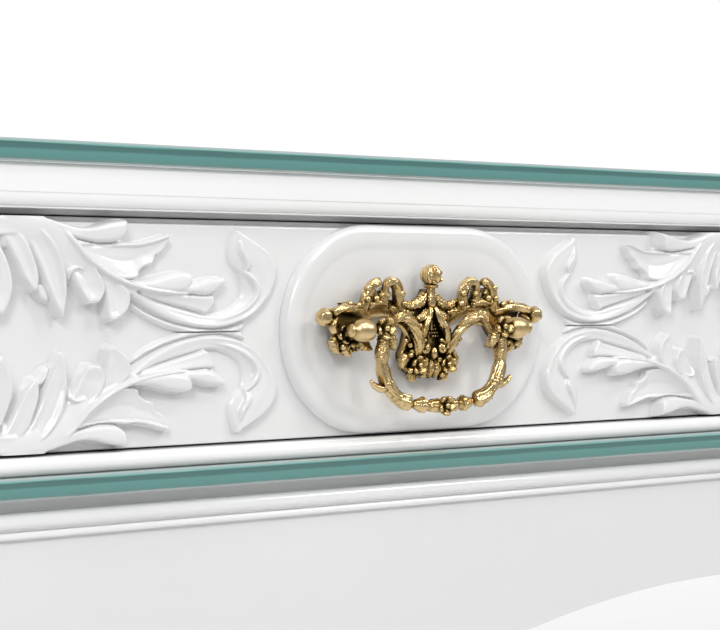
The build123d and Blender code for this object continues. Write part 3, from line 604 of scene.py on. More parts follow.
# Each lobe: one edge, the other edge, how far its middle rises between them along it, and its veins.
LEAF = {
    "stem": (
        [(189.7, 43.8, 5), (182.8, 43.0, 5.8), (173.3, 41.5, 6.4), (166.1, 38.5, 6.8), (160.6, 34.0, 7),
         (154.9, 28.3, 7), (147.7, 23.4, 6.8), (139.6, 19.6, 6.4), (130.5, 16.9, 5.6)],
        [(188.4, 30.0, 2.4), (181.2, 30.0, 2.6), (173.9, 28.8, 2.8), (167.8, 25.5, 3), (162.2, 20.8, 3.2),
         (156.1, 16.9, 3.6), (149.4, 14.7, 4.2), (143.2, 13.7, 4.8), (135.6, 13.7, 5.2)],
        (0.9, 1.2, 0.9, 0.2, -0.3, -0.4, -0.2), dict()),
    "rib": (
        [(171.6, 41.5, 5.4), (165.3, 38.8, 6.4), (160.2, 34.2, 7.4), (154.6, 28.6, 7.6), (147.4, 23.7, 7.4),
         (139.3, 19.9, 7), (129.7, 17.2, 6.4), (118.5, 15.6, 5.8), (110.9, 14.9, 5)],
        [(172.8, 39.5, 5.4), (167.4, 36.5, 6.4), (162.2, 32.0, 7.4), (156.5, 26.2, 7.6), (149.2, 21.2, 7.4),
         (140.9, 17.6, 7), (130.8, 15.2, 6.4), (119.1, 13.9, 5.8), (111.1, 13.8, 5)],
        (0.0, 0.3, 0.6, 0.6, 0.5, 0.2), dict()),
    "lip_one": (
        [(182.4, 43.1, 5), (173.1, 41.9, 6), (166.0, 40.1, 6.6), (159.1, 38.4, 6.6), (152.1, 38.7, 6.8),
         (145.8, 40.3, 7), (138.5, 41.5, 7.4)],
        [(167.4, 37.6, 6.8), (161.2, 34.6, 7), (155.5, 33.4, 6), (150.8, 32.8, 5.6), (145.6, 32.8, 5.6),
         (142.0, 33.5, 6), (139.8, 35.4, 6.6)],
        (0.3, 0.2, 0.3, 0.7), dict()),
    "lip_two": (
        [(161.7, 34.6, 7), (153.9, 33.0, 5.4), (147.2, 32.3, 5), (139.5, 33.2, 4.8), (133.3, 33.1, 4.8),
         (127.4, 34.4, 5), (120.1, 36.4, 5.4)],
        [(158.4, 31.1, 7), (151.1, 31.5, 5), (145.6, 31.0, 4.4), (139.0, 31.0, 4), (132.7, 31.3, 3.8),
         (126.7, 32.5, 4.2), (119.2, 35.1, 5)],
        (0.2, 0.4, 0.6, 0.6), dict(rounding=1.2)),
    "scoop_two": (
        [(161.2, 33.5, 7), (153.7, 32.3, 5), (146.9, 31.8, 4.4), (139.0, 31.9, 4), (132.8, 31.9, 4),
         (126.8, 33.1, 4.4), (119.5, 35.5, 4.8)],
        [(158.7, 30.8, 7), (152.3, 25.6, 7), (146.4, 22.3, 6.8), (139.5, 19.6, 6.2), (133.3, 20.3, 5),
         (132.6, 22.1, 4.6), (130.0, 24.3, 4.8), (127.0, 25.1, 5), (125.9, 27.0, 4.6), (125.2, 28.4, 4.4),
         (122.3, 30.0, 4.6), (119.3, 34.4, 4.8)],
        (-0.6, -1.3, -1.3, -0.4), dict(veins=((0.45, 0.3, 0.07),), rounding=1.2)),
    "lip_three": (
        [(145.6, 23.0, 4.4), (139.7, 19.8, 5.4), (132.4, 19.5, 5.4), (126.2, 20.6, 5.2), (118.8, 22.2, 5.2),
         (112.8, 22.4, 5.4), (110.4, 21.5, 5.4)],
        [(143.9, 19.2, 6), (136.6, 17.5, 6.8), (129.7, 16.0, 6.4), (122.6, 14.9, 5.8), (116.2, 14.6, 5.4),
         (112.2, 15.5, 5.2), (110.0, 18.5, 5)],
        (0.1, 0.3, 0.8, 1.0, 0.8), dict()),
    "lip_four": (
        [(123.8, 19.0, 3.4), (116.1, 19.2, 4.2), (110.5, 18.5, 4.5), (105.5, 19.5, 4.8), (100.0, 20.5, 5),
         (95.5, 20.4, 5)],
        [(124.1, 15.3, 4), (116.5, 14.6, 4.8), (111.7, 14.1, 5), (106.7, 13.7, 4.6), (102.4, 13.6, 4.4),
         (97.8, 15.5, 4.2), (94.9, 18.5, 4.6)],
        (0.1, 0.5, 0.9, 0.9, 0.6), dict()),
    "skirt_four": (
        [(132.8, 16.4, 5), (120.8, 14.7, 5.2), (112.5, 14.1, 5), (105.5, 13.7, 4.8), (99.2, 13.6, 4.6)],
        [(132.0, 13.5, 3.6), (119.7, 10.7, 3.4), (111.5, 8.9, 3.4), (106.1, 7.6, 3.6), (103.1, 6.6, 3.8),
         (99.5, 10.6, 4.2)],
        (-0.2, -0.5, -0.6, -0.2), dict(veins=((0.55, 0.2, 0.1),), rounding=1.2)),
    "scroll": (
        [(139.6, 16.0, 4.2), (129.7, 9.6, 4.2), (121.5, 5.7, 4.1), (111.9, 2.9, 4), (100.8, 1.5, 4),
         (90.8, 2.6, 4), (81.9, 5.9, 4), (75.2, 11.9, 4), (71.1, 19.0, 4), (70.8, 25.3, 4), (74.7, 30.5, 4.1),
         (80.6, 34.4, 4.2), (84.8, 36.6, 4), (87.8, 38.7, 3.4)],
        [(136.7, 16.7, 4.8), (128.3, 12.9, 4.2), (119.8, 10.4, 3.6), (111.4, 8.3, 3.2), (104.2, 6.8, 2.8),
         (97.0, 7.0, 2.2), (90.9, 9.3, 1.6), (86.9, 12.7, 1.2), (86.0, 17.5, 1.2), (87.3, 21.6, 1.4),
         (90.2, 24.6, 1.4), (92.3, 28.5, 1.2), (91.7, 33.4, 1.6), (89.4, 38.1, 2.4)],
        (0.5, -0.4, -0.9, -0.7, -0.1, 0.9, 0.5), dict(veins=((0.1, -0.4, 0.09), (0.4, -0.3, 0.07)),
                                                      samples=1500)),
    "hook": (
        [(84.2, 22.6, 4.4), (82.6, 25.2, 5), (83.6, 27.8, 5.2), (85.6, 30.4, 4.8), (86.9, 34.6, 4.2)],
        [(85.8, 22.6, 2.6), (86.2, 25.7, 3.6), (87.7, 28.5, 4), (88.7, 31.1, 3.8), (88.4, 34.9, 3.4)],
        (0.1, 0.4, 0.5, 0.3), dict()),
    "eye": (
        [(86.0, 24.0, 3.2), (83.6, 22.6, 4.4), (79.9, 19.5, 4.8), (78.4, 15.7, 4.8), (80.1, 11.2, 4.3),
         (85.4, 6.9, 3.6), (93.1, 4.1, 3.2), (100.0, 3.3, 2.8)],
        [(86.4, 21.4, 2.6), (84.1, 20.2, 3.4), (82.1, 17.8, 3.8), (81.2, 15.5, 3.8), (82.7, 12.1, 3.4),
         (87.3, 8.8, 3), (94.0, 6.3, 2.8), (99.8, 5.1, 2.6)],
        (0.0, 0.2, 0.3, 0.2, 0.1), dict()),
    "ledge": (
        [(135.6, 11.7, 2.6), (127.5, 7.0, 2.8), (116.6, 3.2, 2.8), (105.6, 1.2, 2.8), (94.2, 0.8, 2.6),
         (83.7, 3.3, 2.4)],
        [(134.1, 8.4, 1.4), (126.7, 4.3, 1.6), (116.0, 0.8, 1.8), (104.9, -0.9, 1.8), (96.3, -1.3, 1.6),
         (85.6, -0.0, 1)],
        (0.4, 0.6, 0.6, 0.3), dict()),
    "fall_five": (
        [(199.7, 35.2, 3.5), (198.2, 26.6, 5.2), (195.4, 18.0, 5.8), (191.5, 8.5, 6)],
        [(191.7, 36.4, 4.3), (188.1, 28.8, 6.5), (185.3, 20.2, 7.1), (185.9, 12.8, 6.9), (189.6, 5.9, 6.5)],
        (-0.4, -1.3, -1.0, 0.2), dict(veins=((0.55, 0.3, 0.08),), rounding=1.1)),
    "fall_four": (
        [(192.5, 40.7, 3.5), (187.9, 34.3, 4.8), (183.4, 26.1, 5), (180.2, 19.5, 5.4), (177.4, 15.6, 5.6)],
        [(184.5, 39.3, 4.3), (179.3, 33.1, 6.5), (176.2, 26.1, 7.1), (174.7, 20.2, 6.9), (175.3, 14.9, 6.3)],
        (-0.2, -1.0, -0.7, 0.2), dict(veins=((0.5, 0.25, 0.1),), rounding=1.1)),
    "fall_four_tip": (
        [(177.5, 18.0, 4), (175.6, 15.6, 4), (172.6, 12.3, 4)],
        [(172.3, 18.0, 4.4), (170.1, 14.7, 4.4), (168.9, 10.7, 4)],
        (-0.2, -0.3, 0), dict()),
    "fall_three": (
        [(187.7, 42.3, 3.5), (180.7, 36.6, 5), (176.5, 29.4, 5.4), (173.6, 23.5, 5.4), (171.1, 16.9, 5.8),
         (168.3, 10.5, 6.2), (166.2, 6.1, 6.2)],
        [(179.7, 41.4, 4.5), (172.9, 36.9, 7.3), (168.2, 31.4, 8.2), (165.4, 25.5, 8.4), (164.1, 19.1, 8),
         (164.1, 12.5, 7.6), (165.0, 5.9, 6.9)],
        (0.0, -1.0, -1.8, -1.5, -1.0, 0.1), dict(veins=((0.3, 0.25, 0.08), (0.62, 0.25, 0.08)),
                                                 rounding=1.1)),
    "fall_two": (
        [(170.5, 35.7, 3.5), (165.5, 28.6, 4.8), (161.3, 21.6, 5.4), (158.3, 15.8, 5.8), (155.2, 10.7, 6.2)],
        [(162.5, 34.7, 4.8), (155.0, 27.4, 7.3), (150.1, 20.9, 8), (148.3, 15.8, 7.6), (150.5, 10.9, 6.9)],
        (0.0, -1.1, -1.8, -1.3, 0.1), dict(veins=((0.4, 0.3, 0.1),), rounding=1.1)),
    "fall_two_curl": (
        [(163.2, 19.8, 3.4), (163.3, 22.7, 5.4), (160.3, 24.7, 6.2), (155.3, 23.6, 5.6)],
        [(160.9, 18.9, 3.4), (160.6, 21.6, 5), (158.9, 22.9, 5.6), (155.6, 22.0, 5.2)],
        (0.1, 0.4, 0.2), dict()),
    "fall_one": (
        [(152.9, 24.7, 3.7), (148.5, 18.9, 5.8), (147.5, 13.5, 6), (147.2, 9.0, 6), (146.9, 5.4, 5.8)],
        [(143.5, 20.3, 5.2), (139.0, 16.4, 7.3), (137.6, 12.4, 7.6), (139.4, 7.6, 7.1), (144.8, 4.0, 6.5)],
        (0.0, -1.0, -1.5, -1.0, 0.1), dict(veins=((0.5, 0.35, 0.1),), rounding=1.1)),
    "arch": (
        [(296, 9, 4), (284, 22, 5.4), (262, 32, 6.4), (236, 38.6, 6.8), (208, 41.6, 6.6), (176, 41.6, 5.4)],
        [(290, 4, 4), (272, 12.6, 5.2), (250, 22, 5.8), (228, 29, 6), (204, 33.6, 6), (172, 35, 5.2)],
        (0.4, -1.0, -1.4, -1.2, -0.8, -0.3), dict(veins=((0.12, -0.9, 0.06), (0.6, 0.4, 0.06)))),
    "arch_fall_one": (
        [(226, 33, 5.6), (214, 24, 6.2), (203, 14.6, 6.4), (194, 6, 5.6)],
        [(196, 34, 5), (189, 25.4, 4.6), (186, 16, 5), (188, 7, 5)],
        (-0.3, -1.0, -0.8, 0.1), dict(veins=((0.45, 0.3, 0.08),))),
    "arch_fall_two": (
        [(250, 26, 5.4), (240, 18, 6), (229, 11, 6), (218, 6, 5.4)],
        [(222, 29, 5), (213, 21, 4.6), (208.6, 13.6, 4.8), (212, 7, 5)],
        (-0.3, -0.9, -0.7, 0.1), dict(veins=((0.45, 0.3, 0.08),))),
    "arch_fall_three": (
        [(270, 17, 5), (261, 10.6, 5.4), (250, 7, 5.4), (240, 5, 5)],
        [(246, 21, 4.6), (238, 15, 4.2), (233, 10, 4.6), (236, 6, 4.8)],
        (-0.2, -0.7, -0.5, 0.1), dict(veins=((0.45, 0.3, 0.08),))),
    "root": (
        [(301, 13, 4), (294, 9, 4.6), (284, 5.4, 5), (274, 3.6, 4.4), (264, 2.4, 3.6)],
        [(299, 3, 3.6), (292, 2.4, 4), (284, 1.6, 4), (274, 1.2, 3.6), (264, 1.2, 3.2)],
        (0.6, 0.9, 0.8, 0.4), dict()),
}
CELL = 0.34
ROUND = 1.9
REBATE = 1.9


def lobe_points(upper, lower, crown, veins=(), samples=900, rounding=ROUND):
    """Points that cover a lobe: straight lines between its two edges, swelled by crown times 4t(1-t).

    t is the position across, and a vein at t0 dips the surface by depth exp(-((t - t0) / width)^2). Along its
    edges and its tip the surface rolls over, on a quarter circle whose radius is at most rounding.
    """
    a, b = spline(upper, samples), spline(lower, samples)
    widest = np.linalg.norm((a - b)[:, :2], axis=1).max()
    t = np.linspace(0, 1, int(widest / 0.13) + 8)
    points = a[:, None] + (b - a)[:, None] * t[None, :, None]
    points[..., 2] += stations(crown, samples)[:, None] * (4 * t * (1 - t))
    fade = np.sin(pi * np.clip(np.linspace(0.04, 1.1, samples), 0, 1)) ** 0.5
    for place, depth, width in veins:
        points[..., 2] -= depth * fade[:, None] * np.exp(-(((t - place) / width) ** 2))
    gap = np.linalg.norm((a - b)[:, :2], axis=1)[:, None]
    radius = np.minimum(rounding, gap * 0.4)
    length = np.linalg.norm(np.diff((a + b)[:, :2] / 2, axis=0), axis=1).sum()
    ahead = np.linspace(length, 0, samples)[:, None]
    near = np.minimum(np.minimum(t, 1 - t) * gap, ahead)
    points[..., 2] -= radius - np.sqrt(np.maximum(radius**2 - np.maximum(radius - near, 0) ** 2, 0))
    return points.reshape(-1, 3)


def soften(field, times):
    """The field blurred along both its directions with the weights 1, 4, 6, 4, 1, as often as times says."""
    for _ in range(times):
        for axis in (0, 1):
            padded = np.pad(field, [(2, 2) if k == axis else (0, 0) for k in (0, 1)], mode="edge")
            parts = [np.take(padded, np.arange(field.shape[axis]) + k, axis=axis) for k in range(5)]
            field = (parts[0] + 4 * parts[1] + 6 * parts[2] + 4 * parts[3] + parts[4]) / 16
    return field


def carved_relief():
    """The carving's height over a grid: at each point the highest lobe, softened as a sprayed surface is.

    A lobe's height in a cell is the mean of its points there, each shared out among the four nearest cells.
    Creases are filled by a wider softening of the same field, lowered a little, and the ground lies just
    inside the drawer's face.
    """
    fine = CELL / 2
    u0, v0, u1, v1 = 66.0, 0.3, 303.0, 41.9
    shape = (int((u1 - u0) / fine) + 1, int((v1 - v0) / fine) + 1)
    across = v0 + fine * np.arange(shape[1])
    ground = np.broadcast_to(np.where(across > HALF_FRONT - REBATE - 0.4, -3.5, -1.0), shape)
    field = ground
    for upper, lower, crown, rest in LEAF.values():
        points = lobe_points(upper, lower, crown, **rest)
        x, y = (points[:, 0] - u0) / fine, (points[:, 1] - v0) / fine
        i, j = np.floor(x).astype(int), np.floor(y).astype(int)
        inside = (i >= 0) & (i < shape[0] - 1) & (j >= 0) & (j < shape[1] - 1)
        i, j, x, y, z = i[inside], j[inside], x[inside], y[inside], points[inside, 2]
        share, total = np.zeros(shape[0] * shape[1]), np.zeros(shape[0] * shape[1])
        for di, dj in ((0, 0), (0, 1), (1, 0), (1, 1)):
            weight = np.abs(1 - di - (x - i)) * np.abs(1 - dj - (y - j))
            cell = (i + di) * shape[1] + j + dj
            share += np.bincount(cell, weight, len(share))
            total += np.bincount(cell, weight * z, len(share))
        lobe = np.where(share > 0.35, total / np.maximum(share, 1e-6), ground.ravel()).reshape(shape)
        field = np.maximum(field, soften(lobe, 5))
    wide = soften(field, 30)
    field = np.maximum(soften(field, 1), wide - 0.75 - 0.1 * wide)
    return u0, v0, fine, field


def make_leaves():
    """The carved relief as a closed slab, mirrored to the four corners of the drawer front."""
    relief = settings().relief
    u0, v0, fine, field = carved_relief()
    height = field[::2, ::2]
    u = u0 + 2 * fine * np.arange(height.shape[0])
    v = v0 + 2 * fine * np.arange(height.shape[1])
    grid = np.stack([*np.meshgrid(u, v, indexing="ij"), height], axis=-1)
    first, last = grid[:, :1].copy(), grid[:, -1:].copy()
    first[..., 2] = last[..., 2] = -4.2
    slab = shell(np.concatenate([first, grid, last], axis=1))
    for side, side_name in ((1, "right"), (-1, "left")):
        for rise, rise_name in ((1, "upper"), (-1, "lower")):

            def on_front(p):
                return np.column_stack([side * p[:, 0], FACE_Y - relief * p[:, 2], MID_Z + rise * p[:, 1]])

            skin = placed(slab, on_front)
            node = f"leaf_{rise_name}_{side_name}"
            add_piece(f"carved_{node}", [flipped(skin) if side * rise > 0 else skin], finish("white_lacquer"),
                      "drawer", [node], crease=70)


# ---------------------------------------------------------------- cast pull
def scroll(points, flutes=0, depth=0.0, twist=0.0, samples=48, around=18):
    """A tube through points of (across, up, rise, radius), as a closed skin with rounded ends.

    The section is a circle of that radius, times 1 + depth cos(flutes angle), where the angle turns by twist
    over the length.
    """
    line = spline(points, samples)
    centre, radius = line[:, :3], line[:, 3].copy()
    along = np.linspace(0, 1, samples)
    close = np.minimum(along, 1 - along) * np.linalg.norm(np.diff(centre, axis=0), axis=1).sum()
    radius *= np.sqrt(np.clip(1 - (1 - np.clip(close / np.maximum(radius, 0.1), 0, 1)) ** 2, 0.02, 1))
    tangent = unit(np.gradient(centre, axis=0))
    side = unit(np.cross(tangent, [0, 0, 1.0]))
    up = np.cross(side, tangent)
    angle = np.linspace(0, 2 * pi, around, endpoint=False)[None, :]
    wave = 1 + depth * np.cos(flutes * (angle + twist * along[:, None]))
    r = radius[:, None] * wave
    sideways = (r * np.cos(angle))[..., None] * side[:, None]
    upwards = (r * np.sin(angle))[..., None] * up[:, None]
    return shell(centre[:, None] + sideways + upwards)


def flower(centre, radius, petals=5, turn=0.3):
    """A flower facing the room, as rings about its middle, with a round heart.

    The edge and the height follow |cos(petals angle / 2)|^0.5, so broad petals meet in narrow notches, and
    each petal is dished: it rises with the square of the distance out, then rolls over.
    """
    angle = np.linspace(0, 2 * pi, petals * 12, endpoint=False)
    lobe = np.abs(np.cos(petals * (angle + turn) / 2)) ** 0.5
    rings = []
    for q, rise in ((0.04, 0.2), (0.3, 0.16), (0.42, 0.18), (0.56, 0.28), (0.7, 0.42), (0.82, 0.52),
                    (0.92, 0.5), (1.0, 0.34), (1.0, 0.1), (0.86, -0.15), (0.5, -0.3)):
        edge = radius * q * (1 - 0.34 * (1 - lobe) * q)
        height = radius * (rise - 0.55 * (1 - lobe) * q)
        rings.append(np.stack([edge * np.cos(angle), edge * np.sin(angle), height], axis=1))
    x, z, h = centre
    return [shell(np.array(rings) + np.asarray(centre, float)),
            bead((x, z, h + 0.24 * radius), (0.3 * radius, 0.3 * radius, 0.32 * radius), around=14, along=9)]


def bead(centre, radii, flutes=0, depth=0.0, around=24, along=15, axis="up"):
    """An ellipsoid: a half circle of latitudes, each a circle with flutes that fade at the poles."""
    lat = np.linspace(-pi / 2, pi / 2, along)[1:-1, None]
    lon = np.linspace(0, 2 * pi, around, endpoint=False)[None, :]
    wave = 1 + depth * np.cos(flutes * lon) * np.cos(lat) ** 0.5
    x, y, z = np.cos(lat) * np.cos(lon) * wave, np.cos(lat) * np.sin(lon) * wave, np.sin(lat) + 0 * lon
    order = {"up": (x, z, y), "across": (z, x, y), "out": (x, y, z)}[axis]
    return shell(np.stack(order, axis=-1) * radii + np.asarray(centre, float))


def frond(points, width, rise):
    """A small acanthus leaf along points of (across, up, rise): narrow, wide, pointed, with notched sides."""
    curl, notches, samples = 0.6, 5, 46
    line = spline(points, samples)
    along = np.linspace(0, 1, samples)
    half = width / 2 * np.sin(pi * np.clip(along * 0.93 + 0.07, 0, 1)) ** 0.55 + 0.12
    half *= 1 - 0.28 * np.abs(np.sin(pi * notches * along)) ** 3
    direction = unit(np.gradient(line[:, :2], axis=0))
    across = np.stack([-direction[:, 1], direction[:, 0]], axis=1)
    upper, lower = line.copy(), line.copy()
    upper[:, :2] += across * half[:, None]
    lower[:, :2] -= across * half[:, None]
    upper[:, 2] -= curl
    lower[:, 2] -= curl
    under = max(float(line[:, 2].min()) - rise - curl - 1.6, 0.0)
    return petal(upper, lower, (rise, rise, rise * 0.6), veins=((0.5, 0.35, 0.09),), samples=samples,
                 across=12, lip=0.35, base=under, tuck=0.2)


def volute(centre, size, rise, radius, start, hand):
    """A spiral scroll: its distance from the middle falls evenly as it turns."""
    turns = 1.1
    q = np.linspace(0, 1, 12)
    angle = start + hand * turns * 2 * pi * q
    reach = size * (1 - 0.82 * q)
    x, z = centre[0] + reach * np.cos(angle), centre[1] + reach * np.sin(angle)
    return scroll(np.column_stack([x, z, rise + 1.2 * q, radius * (1 - 0.25 * q)]), samples=44, around=12)


def pull_half():
    """The right half of the cast plate."""
    skins = []
    # the flat web under the casting
    skins.append(petal(
        [(1, 9.5, 3), (8, 9.5, 3), (14, 10.5, 3), (22, 11.5, 3), (31, 11, 3), (40, 9, 3), (50, 8, 3)],
        [(1, 1, 3), (8, 1, 3), (14, 3, 3), (22, 5.5, 3), (30, 4, 3), (36, -3.5, 3), (42, -5, 3)],
        (0.9, 0.9, 0.9), lip=0.5, base=-2.6, tuck=0.3, samples=60))
    skins.append(petal(
        [(0.2, 16, 3), (2.6, 12, 3), (7.4, 8, 3), (9.4, 1, 3), (11, -6, 3), (13, -11, 3), (9, -17.6, 3),
         (2, -19.6, 3)],
        [(-0.2, 16, 3), (-0.3, 12, 3), (-0.4, 8, 3), (-0.4, 1, 3), (-0.4, -6, 3), (-0.4, -11, 3),
         (-0.4, -15, 3), (-0.4, -18.6, 3)],
        (0.3, 0.6, 0.5), crest=0.6, lip=0.5, base=-2.6, tuck=0.3, samples=60))
    # crest: an inner and an outer scroll that meet over a pierced gap
    skins.append(scroll([(15, 6.6, 4, 2.0), (16.6, 11.4, 4.6, 2.2), (17.4, 15.8, 5, 2.3),
                         (20, 18.8, 5.4, 2.1), (23.4, 18.2, 5.6, 1.7), (24, 14.8, 5.4, 1.4),
                         (21.6, 13.2, 5.6, 1.3)],
                        flutes=5, depth=0.12, twist=2.5, samples=70))
    skins.append(scroll([(36.4, 5.6, 4, 1.8), (33.8, 10, 4.6, 2.2), (32.6, 14.6, 5, 2.2),
                         (29.4, 18.4, 5.4, 2.0), (26, 18.8, 5.6, 1.5)], flutes=5, depth=0.12, twist=2.5,
                         samples=60))
    skins.append(scroll([(22, 9.5, 4, 1.5), (27, 10.6, 5, 1.8), (31.6, 10.2, 5, 1.5), (33, 13, 5, 1.1)],
                        flutes=4, depth=0.1))
    skins += [bead((x, z, 6.4), (1.5, 1.5, 1.4)) for x, z in ((15, 10), (16.2, 14.2), (33.6, 12), (33, 16.4),
                                                              (29.4, 12.2))]
    skins.append(frond([(23, 9, 5.4), (24.6, 12.6, 6.2), (24, 16.6, 6)], 4.2, 1.0))
    skins.append(frond([(31, 8, 5), (30.2, 12, 6), (29.4, 16, 6.2)], 3.6, 0.9))
    # ridge of small leaves from the neck down to the arm
    skins.append(frond([(2, 14, 4.6), (5, 10.4, 5.4), (10.4, 8.6, 5)], 4.4, 1.2))
    skins.append(frond([(8, 8.4, 4.6), (12, 9.6, 5), (14.4, 11.4, 4.8)], 3.2, 0.9))
    skins.append(frond([(9, 6.4, 4.6), (15, 6.8, 5.4), (21, 9, 5)], 3.6, 1.0))
    # long C-scroll that springs from the foot and reaches towards the bail's flower
    skins.append(scroll([(7.6, -12, 5, 1.3), (8.8, -6, 7.6, 1.7), (11.4, -0.6, 9.6, 1.9),
                         (15.6, 3.6, 11, 2.0), (20, 5.2, 11.8, 1.9), (23.4, 4.4, 12, 1.5),
                         (24.9, 2.2, 11.6, 0.9)],
                        flutes=7, depth=0.13, twist=4.2, samples=90, around=28))
    skins.append(scroll([(9.4, -8, 4.4, 1.0), (12.8, -3, 6, 1.1), (17, 1, 7.4, 1.1), (21.6, 2.6, 8.4, 1.0),
                         (25, 1.4, 8.8, 0.8)], samples=50, around=12))
    skins += [bead((x, z, h), (1.1, 1.1, 1.0)) for x, z, h in ((10.6, -9, 6), (12, -6.4, 6.6),
                                                               (14, -4.4, 6.4))]
    # arm, its bud, and the flower cluster under the post
    skins.append(scroll([(34, 6, 4.6, 1.8), (41, 8, 6.4, 2.0), (47, 8.2, 7.4, 1.9), (52, 6.6, 7.8, 1.6)],
                        flutes=5, depth=0.1, twist=3, samples=44))
    skins.append(bead((55.2, 5.2, 6.6), (3.6, 3.4, 3.4), flutes=6, depth=0.09, axis="across"))
    skins.append(scroll([(48, 6, 5, 1.6), (51, 2.4, 6.6, 1.8), (49.6, -1.4, 6.2, 1.5)], flutes=4, depth=0.1))
    skins += flower((44.8, -1.4, 6.4), 4.0)
    skins += flower((40.6, -6.6, 5.6), 2.5, turn=1.0)
    skins.append(frond([(40.6, -1.4, 5), (36.4, -4.6, 6.4), (31.6, -7.8, 7)], 4.6, 1.2))
    skins.append(frond([(45, -3, 5), (43.6, -6.8, 6), (41.2, -10, 5.6)], 4.6, 1.1))
    skins.append(frond([(47, -2, 5), (48.4, -5.4, 5.6), (46.4, -9, 5)], 3.8, 1.0))
    skins += [bead((x, z, 6.2), (1.4, 1.4, 1.3)) for x, z in ((41, -5.6), (45.4, -6.4), (38, 9.6),
                                                              (42.2, 10.2))]
    skins.append(frond([(36, 5.4, 5), (40, 8.4, 6), (45, 10.4, 5.6)], 3.6, 0.9))
    # foot: fronds that part over a dark field, a volute, a flower and the leaves below it
    skins.append(scroll([(0.9, 9, 5.4, 1.3), (2.6, 4.6, 6.8, 1.4), (5.4, 0.4, 7.6, 1.4), (7, -4.6, 7.4, 1.4),
                         (6.6, -8.4, 6.8, 1.2)], flutes=5, depth=0.14, twist=3, samples=60, around=20))
    skins.append(frond([(2.2, 7.4, 6), (5.2, 4.6, 7.4), (8.4, 4.2, 6.8)], 3.6, 1.0))
    skins.append(frond([(4.4, 2.4, 6.4), (7.4, -0.6, 7.2), (9.6, -4.4, 6.4)], 3.4, 1.0))
    skins.append(volute((4.2, -7.4), 2.9, 6.2, 1.15, start=1.9, hand=-1))
    skins.append(bead((4.2, -7.4, 7.4), (1.2, 1.2, 1.1)))
    skins += flower((7.6, -14.4, 6.4), 3.9, turn=0.9)
    skins.append(frond([(3.4, -11, 5), (3.8, -15.4, 6), (2.6, -19.6, 4.8)], 3.8, 1.1))
    skins.append(frond([(9.6, -10.6, 5), (12.8, -12, 5.6), (13.8, -15.6, 4.6)], 3.6, 1.0))
    skins.append(frond([(7.4, -16.6, 4.8), (8.6, -19, 4.6), (6.6, -20.8, 3.8)], 3.0, 0.8))
    skins += [bead((x, z, 6.0), (1.2, 1.2, 1.2)) for x, z in ((11.4, -10.4), (11.6, -16.6), (5.2, -18.6),
                                                              (3.6, -12.6))]
    # a field of small dimpled grains between the fronds
    row, column = np.meshgrid(np.arange(6), np.arange(3), indexing="ij")
    keep = column <= row / 2
    grains = np.column_stack([0.7 + 1.35 * column[keep] + 0.5 * (row[keep] % 2), 4.4 - 1.5 * row[keep]])
    skins += [bead((x, z, 4.4), (0.55, 0.6, 0.7), around=8, along=7) for x, z in grains]
    return skins


def pull_middle():
    """Parts of the plate on its middle line: the bud, its neck and the drop."""
    return [
        scroll([(0, 8, 4.6, 2.4), (0, 12, 5, 2.0), (0, 15.4, 5, 1.7), (0, 17.4, 5, 2.1)], samples=30),
        bead((0, 17.2, 5.0), (2.9, 1.1, 2.9), flutes=8, depth=0.08),
        bead((0, 21.6, 5.2), (4.2, 4.4, 3.8), flutes=5, depth=0.16, around=40, along=21),
        *flower((0.3, 21.2, 7.0), 3.5, 5, 0.6), bead((0.2, 24.6, 6.6), (1.6, 1.2, 1.6)),
        frond([(0, 9, 5.6), (0, 12, 6.6), (0, 15.6, 6.2)], 3.6, 1.0),
        bead((0, -9.8, 6.6), (1.7, 2.5, 1.7)),
        frond([(0, -12.4, 5), (0, -16, 5.8), (0, -19.4, 4.8)], 3.6, 1.1),
        bead((0, 2.2, 5.0), (0.7, 3.0, 0.8), around=12, along=11),
    ]


def to_pad(p):
    """Across, up and rise from the oval pad, in the table's frame."""
    return np.column_stack([p[:, 0], PAD_Y - p[:, 2], MID_Z + p[:, 1]])


def outward(skin):
    """The skin with its faces turned round: rise points out of the face, so the frame's hand changes."""
    return flipped(placed(skin, to_pad))


LIFT = 1.3


